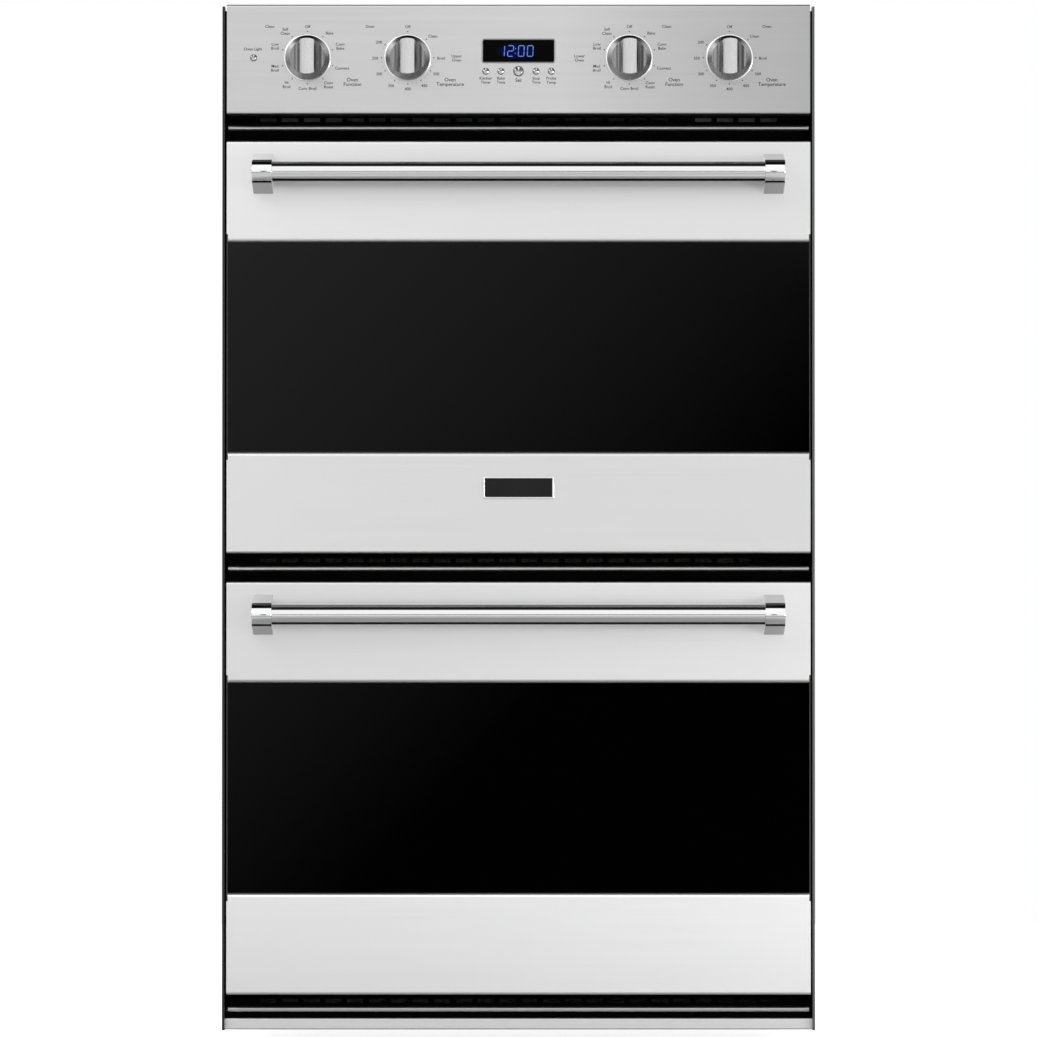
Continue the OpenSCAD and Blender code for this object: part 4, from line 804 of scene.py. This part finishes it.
def legends():
    """All the lettering and dots printed on the panel, as one piece."""
    parts = []
    minor = [d for d in range(60, 300, 10) if d % 30]
    for side, corner, beside in (("upper", -47.6, 61.7), ("lower", 47.2, None)):
        f, t = middle(side + "_function_knob"), middle(side + "_temperature_knob")
        parts += dial_legend(side + "_function_knob", FUNCTION_WORDS, FUNCTION_DOTS)
        parts += dial_legend(side + "_temperature_knob", HEAT_WORDS, HEAT_DOTS, minor)
        parts.append(words("Clean", f.x + corner * MM, f.z + 39.3 * MM))
        parts.append(words("Oven", t.x + corner * MM, t.z + 39.3 * MM))
        parts.append(words("Oven\nFunction", f.x + 56.6 * MM, f.z - 30.8 * MM, BIG_WORD, BIG_PITCH))
        parts.append(words("Oven\nTemperature", t.x + 53.5 * MM, t.z - 30.8 * MM, BIG_WORD, BIG_PITCH))
        x = t.x + beside * MM if beside else f.x - 63.0 * MM
        parts.append(words(side.capitalize() + "\nOven", x, t.z - 0.6 * MM))
    lamp = middle("lamp_button")
    parts.append(words("Oven Light", lamp.x - 0.8 * MM, lamp.z + 10.8 * MM))
    for node, text in (("kitchen_timer_button", "Kitchen\nTimer"), ("bake_time_button", "Bake\nTime"),
                       ("stop_time_button", "Stop\nTime"), ("probe_button", "Probe\nTemp")):
        c = middle(node)
        parts.append(words(text, c.x, c.z - 11.6 * MM))
    c = middle("set_button")
    parts.append(words("Set", c.x, c.z - 11.5 * MM, BIG_WORD))
    points, faces = join(parts)
    piece("panel_legends", points, faces, finishes["legend_ink"], "chassis", sharp=30.0)


# each bar of a seven-bar figure: place across and up in half sizes, and whether it is upright
SEGMENTS = {"a": (0.0, 1.0, 0), "g": (0.0, 0.0, 0), "d": (0.0, -1.0, 0), "b": (1.0, 0.5, 1),
            "c": (1.0, -0.5, 1), "f": (-1.0, 0.5, 1), "e": (-1.0, -0.5, 1)}
LIT = {"0": "abcdef", "1": "bc", "2": "abged"}


def bar(x, z, half, w, upright, y):
    """A six-sided bar with pointed ends, as a thin plate facing -Y."""
    line = np.array([(-half, 0), (-half + w, w), (half - w, w), (half, 0), (half - w, -w), (-half + w, -w)])
    if upright:
        line = line[:, ::-1] * [1, -1]
    n = len(line)
    rows = [np.column_stack([line[:, 0] + x, np.full(n, y - t), line[:, 1] + z]) for t in (0.0, INK_T)]
    faces = net(2, n) + [list(range(n)), list(range(n, 2 * n))]
    return np.concatenate(rows), faces


def clock_digits():
    """The time 12:00 in seven-bar figures, leaning a little, just in front of the window."""
    low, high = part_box("display_window")
    c = (low + high) / 2
    y = low.y - 0.04 * MM
    half_w, half_h, w = 3.5 * MM, 6.7 * MM, 0.5 * MM
    parts = []
    for text, at in (("1", -21.2), ("2", -10.0), ("0", 3.5), ("0", 14.8)):
        for key in LIT[text]:
            sx, sz, upright = SEGMENTS[key]
            half = (half_h / 2 if upright else half_w) - 0.3 * MM
            parts.append(bar(c.x + at * MM + sx * half_w, c.z + sz * half_h, half, w, upright, y))
    for z in (-3.0, 3.0):
        parts.append(turned([(0, 0), (0.7 * MM, 0), (0.7 * MM, -INK_T), (0, -INK_T)],
                            (c.x - 3.9 * MM, y, c.z + z * MM), "y", 12))
    points, faces = join(parts)
    points[:, 0] += (points[:, 2] - c.z) * 0.05
    piece("clock_digits", points, faces, finishes["digit_light"], "chassis", sharp=30.0)


def clock_frame():
    """A thin raised lip round the clock window: a half round carried round the opening."""
    low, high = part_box("display_window")
    c = (low + high) / 2
    loop, normals = round_loop(45.5 * MM, 14.5 * MM, 2.0 * MM)
    lip = arc(0.1 * MM, 0.0, 0.9 * MM, 180, 360, 9)
    section = np.concatenate([lip, [(1.0 * MM, 0.5 * MM), (-0.8 * MM, 0.5 * MM)]])
    points, faces = framed(loop, normals, section, (c.x, PANEL_FACE, c.z))
    piece("clock_frame", points, faces, finishes["clock_lip"], "chassis", sharp=50.0)


def badge():
    """A raised satin rim, its section carried round a rounded rectangle, and a flat field inside it."""
    low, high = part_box("badge")
    c = (low + high) / 2
    half_w, half_h, t = (high.x - low.x) / 2, (high.z - low.z) / 2, high.y - low.y
    rim, lip = 2.4 * MM, 0.5 * MM
    loop, normals = round_loop(half_w, half_h, 1.6 * MM, 8)
    section = np.concatenate([[(0, t / 2)], arc(-lip, -t / 2 + lip, lip, 0, -90, 5),
                              arc(-rim + lip, -t / 2 + lip, lip, -90, -180, 5), [(-rim, t / 2)]])
    points, faces = framed(loop, normals, section, c)
    piece("badge_rim", points, faces, finishes["badge_metal"], "upper_door", ("badge",))
    inner, _ = round_loop(half_w - rim + 0.2 * MM, half_h - rim + 0.2 * MM, 1.0 * MM, 8)
    n = len(inner)
    rows = [np.column_stack([inner[:, 0] + c.x, np.full(n, c.y + y), inner[:, 1] + c.z])
            for y in (t / 2, -t / 2 + 0.7 * MM)]
    piece("badge_field", np.concatenate(rows), net(2, n) + [list(range(n)), list(range(n, 2 * n))],
          finishes["badge_field"], "upper_door")


# ---------------------------------------------------------------- gaskets

GASKET_W = 10.0 * MM
GASKET_CORNER = 24.0 * MM


def gaskets():
    """A woven tube round each oven's mouth: a flattened oval carried round the opening.

    Its face map holds the way along in centimetres and the way round in turns."""
    low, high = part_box("door_gaskets")
    half_w = high.x - GASKET_W / 2
    half_h = high.z - middle("upper_inner_glass").z - GASKET_W / 2
    a = np.linspace(0, 2 * np.pi, 24, endpoint=False)
    squash = [np.sign(f(a)) * np.abs(f(a)) ** 0.8 for f in (np.cos, np.sin)]
    section = np.stack([GASKET_W / 2 * squash[0], (high.y - low.y) / 2 * squash[1]], -1)
    for door in ("upper", "lower"):
        corner_loop, corner_normals = round_loop(half_w, half_h, GASKET_CORNER, 12)
        loop, normals = finer(corner_loop, corner_normals, 14.0 * MM)
        centre = (0, (low.y + high.y) / 2, middle(door + "_inner_glass").z)
        points, faces = framed(loop, normals, section, centre)
        made = piece(door + "_woven_gasket", points, faces, finishes["gasket_braid"], "chassis",
                     ("door_gaskets",) if door == "upper" else ())
        steps = np.linalg.norm(np.diff(np.vstack([loop, loop[:1]]), axis=0), axis=1)
        along = np.concatenate([[0], np.cumsum(steps)])
        along *= 100 / along[-1] * round(along[-1])  # whole strands round the loop
        n, m = len(loop), len(section)
        i, j = np.meshgrid(np.arange(n), np.arange(m), indexing="ij")
        here, there = along[i], along[i + 1]
        corners = np.stack([here, j / m, here, (j + 1) / m, there, (j + 1) / m, there, j / m], -1)
        layer = made.data.uv_layers.new(name="face")
        layer.data.foreach_set("uv", corners.reshape(-1))


def finer(loop, normals, step):
    """The loop with its long straight sides cut into lengths near step."""
    points, outward = [], []
    for k in range(len(loop)):
        nxt = (k + 1) % len(loop)
        cuts = max(1, int(np.linalg.norm(loop[nxt] - loop[k]) / step))
        for f in np.arange(cuts) / cuts:
            points.append(loop[k] * (1 - f) + loop[nxt] * f)
            outward.append(normals[k] * (1 - f) + normals[nxt] * f)
    return np.array(points), np.array(outward)


for door in ("upper", "lower"):
    handle_tube(door)
    handle_brackets(door)
bezels()
knob_caps()
for node in BUTTONS:
    button_cap(node)
legends()
clock_digits()
clock_frame()
badge()
gaskets()


# ---------------------------------------------------------------- floor

FLOOR_Z = -30.0 * MM        # clear of the lower handle when its door is open
FLOOR_R = 3.5


def make_floor():
    """A flat round sheet, its radius and angle the two parameters: darker near the oven than further out."""
    rings, spokes = 24, 96
    r = np.linspace(0.01, FLOOR_R, rings)
    a = np.linspace(0, 2 * np.pi, spokes, endpoint=False)
    grid = np.stack([np.outer(r, np.cos(a)), np.outer(r, np.sin(a)), np.full((rings, spokes), FLOOR_Z)], -1)
    mesh = bpy.data.meshes.new("floor")
    mesh.from_pydata(grid.reshape(-1, 3).tolist(), [], [list(range(spokes))] + net(rings, spokes))
    obj = bpy.data.objects.new("floor", mesh)
    bpy.context.scene.collection.objects.link(obj)
    made, s, skin = material("floor_paint")
    seen = s.node("ShaderNodeLightPath").outputs["Is Camera Ray"]
    x, y, _ = s.xyz(s.coords())
    far = s.length(x, y)
    # painted shade: the floor is darker near the oven than further out
    paint = s.mix(s.span(far, 0.7, 1.6), (0.42,) * 3, (0.9,) * 3)
    clouds = s.ramp(s.noise(s.coords((6.0,) * 3)), [(0.3, 0.96), (0.7, 1.0)])
    s.link(s.mix(1.0, paint, clouds, "MULTIPLY"), skin.inputs["Base Color"])
    skin.inputs["Roughness"].default_value = 0.6
    skin.inputs["Specular IOR Level"].default_value = 0.1
    skin.inputs["Emission Color"].default_value = (1, 1, 1, 1)
    s.link(s.math("MULTIPLY", seen, 0.9), skin.inputs["Emission Strength"])
    mesh.materials.append(made)


make_floor()
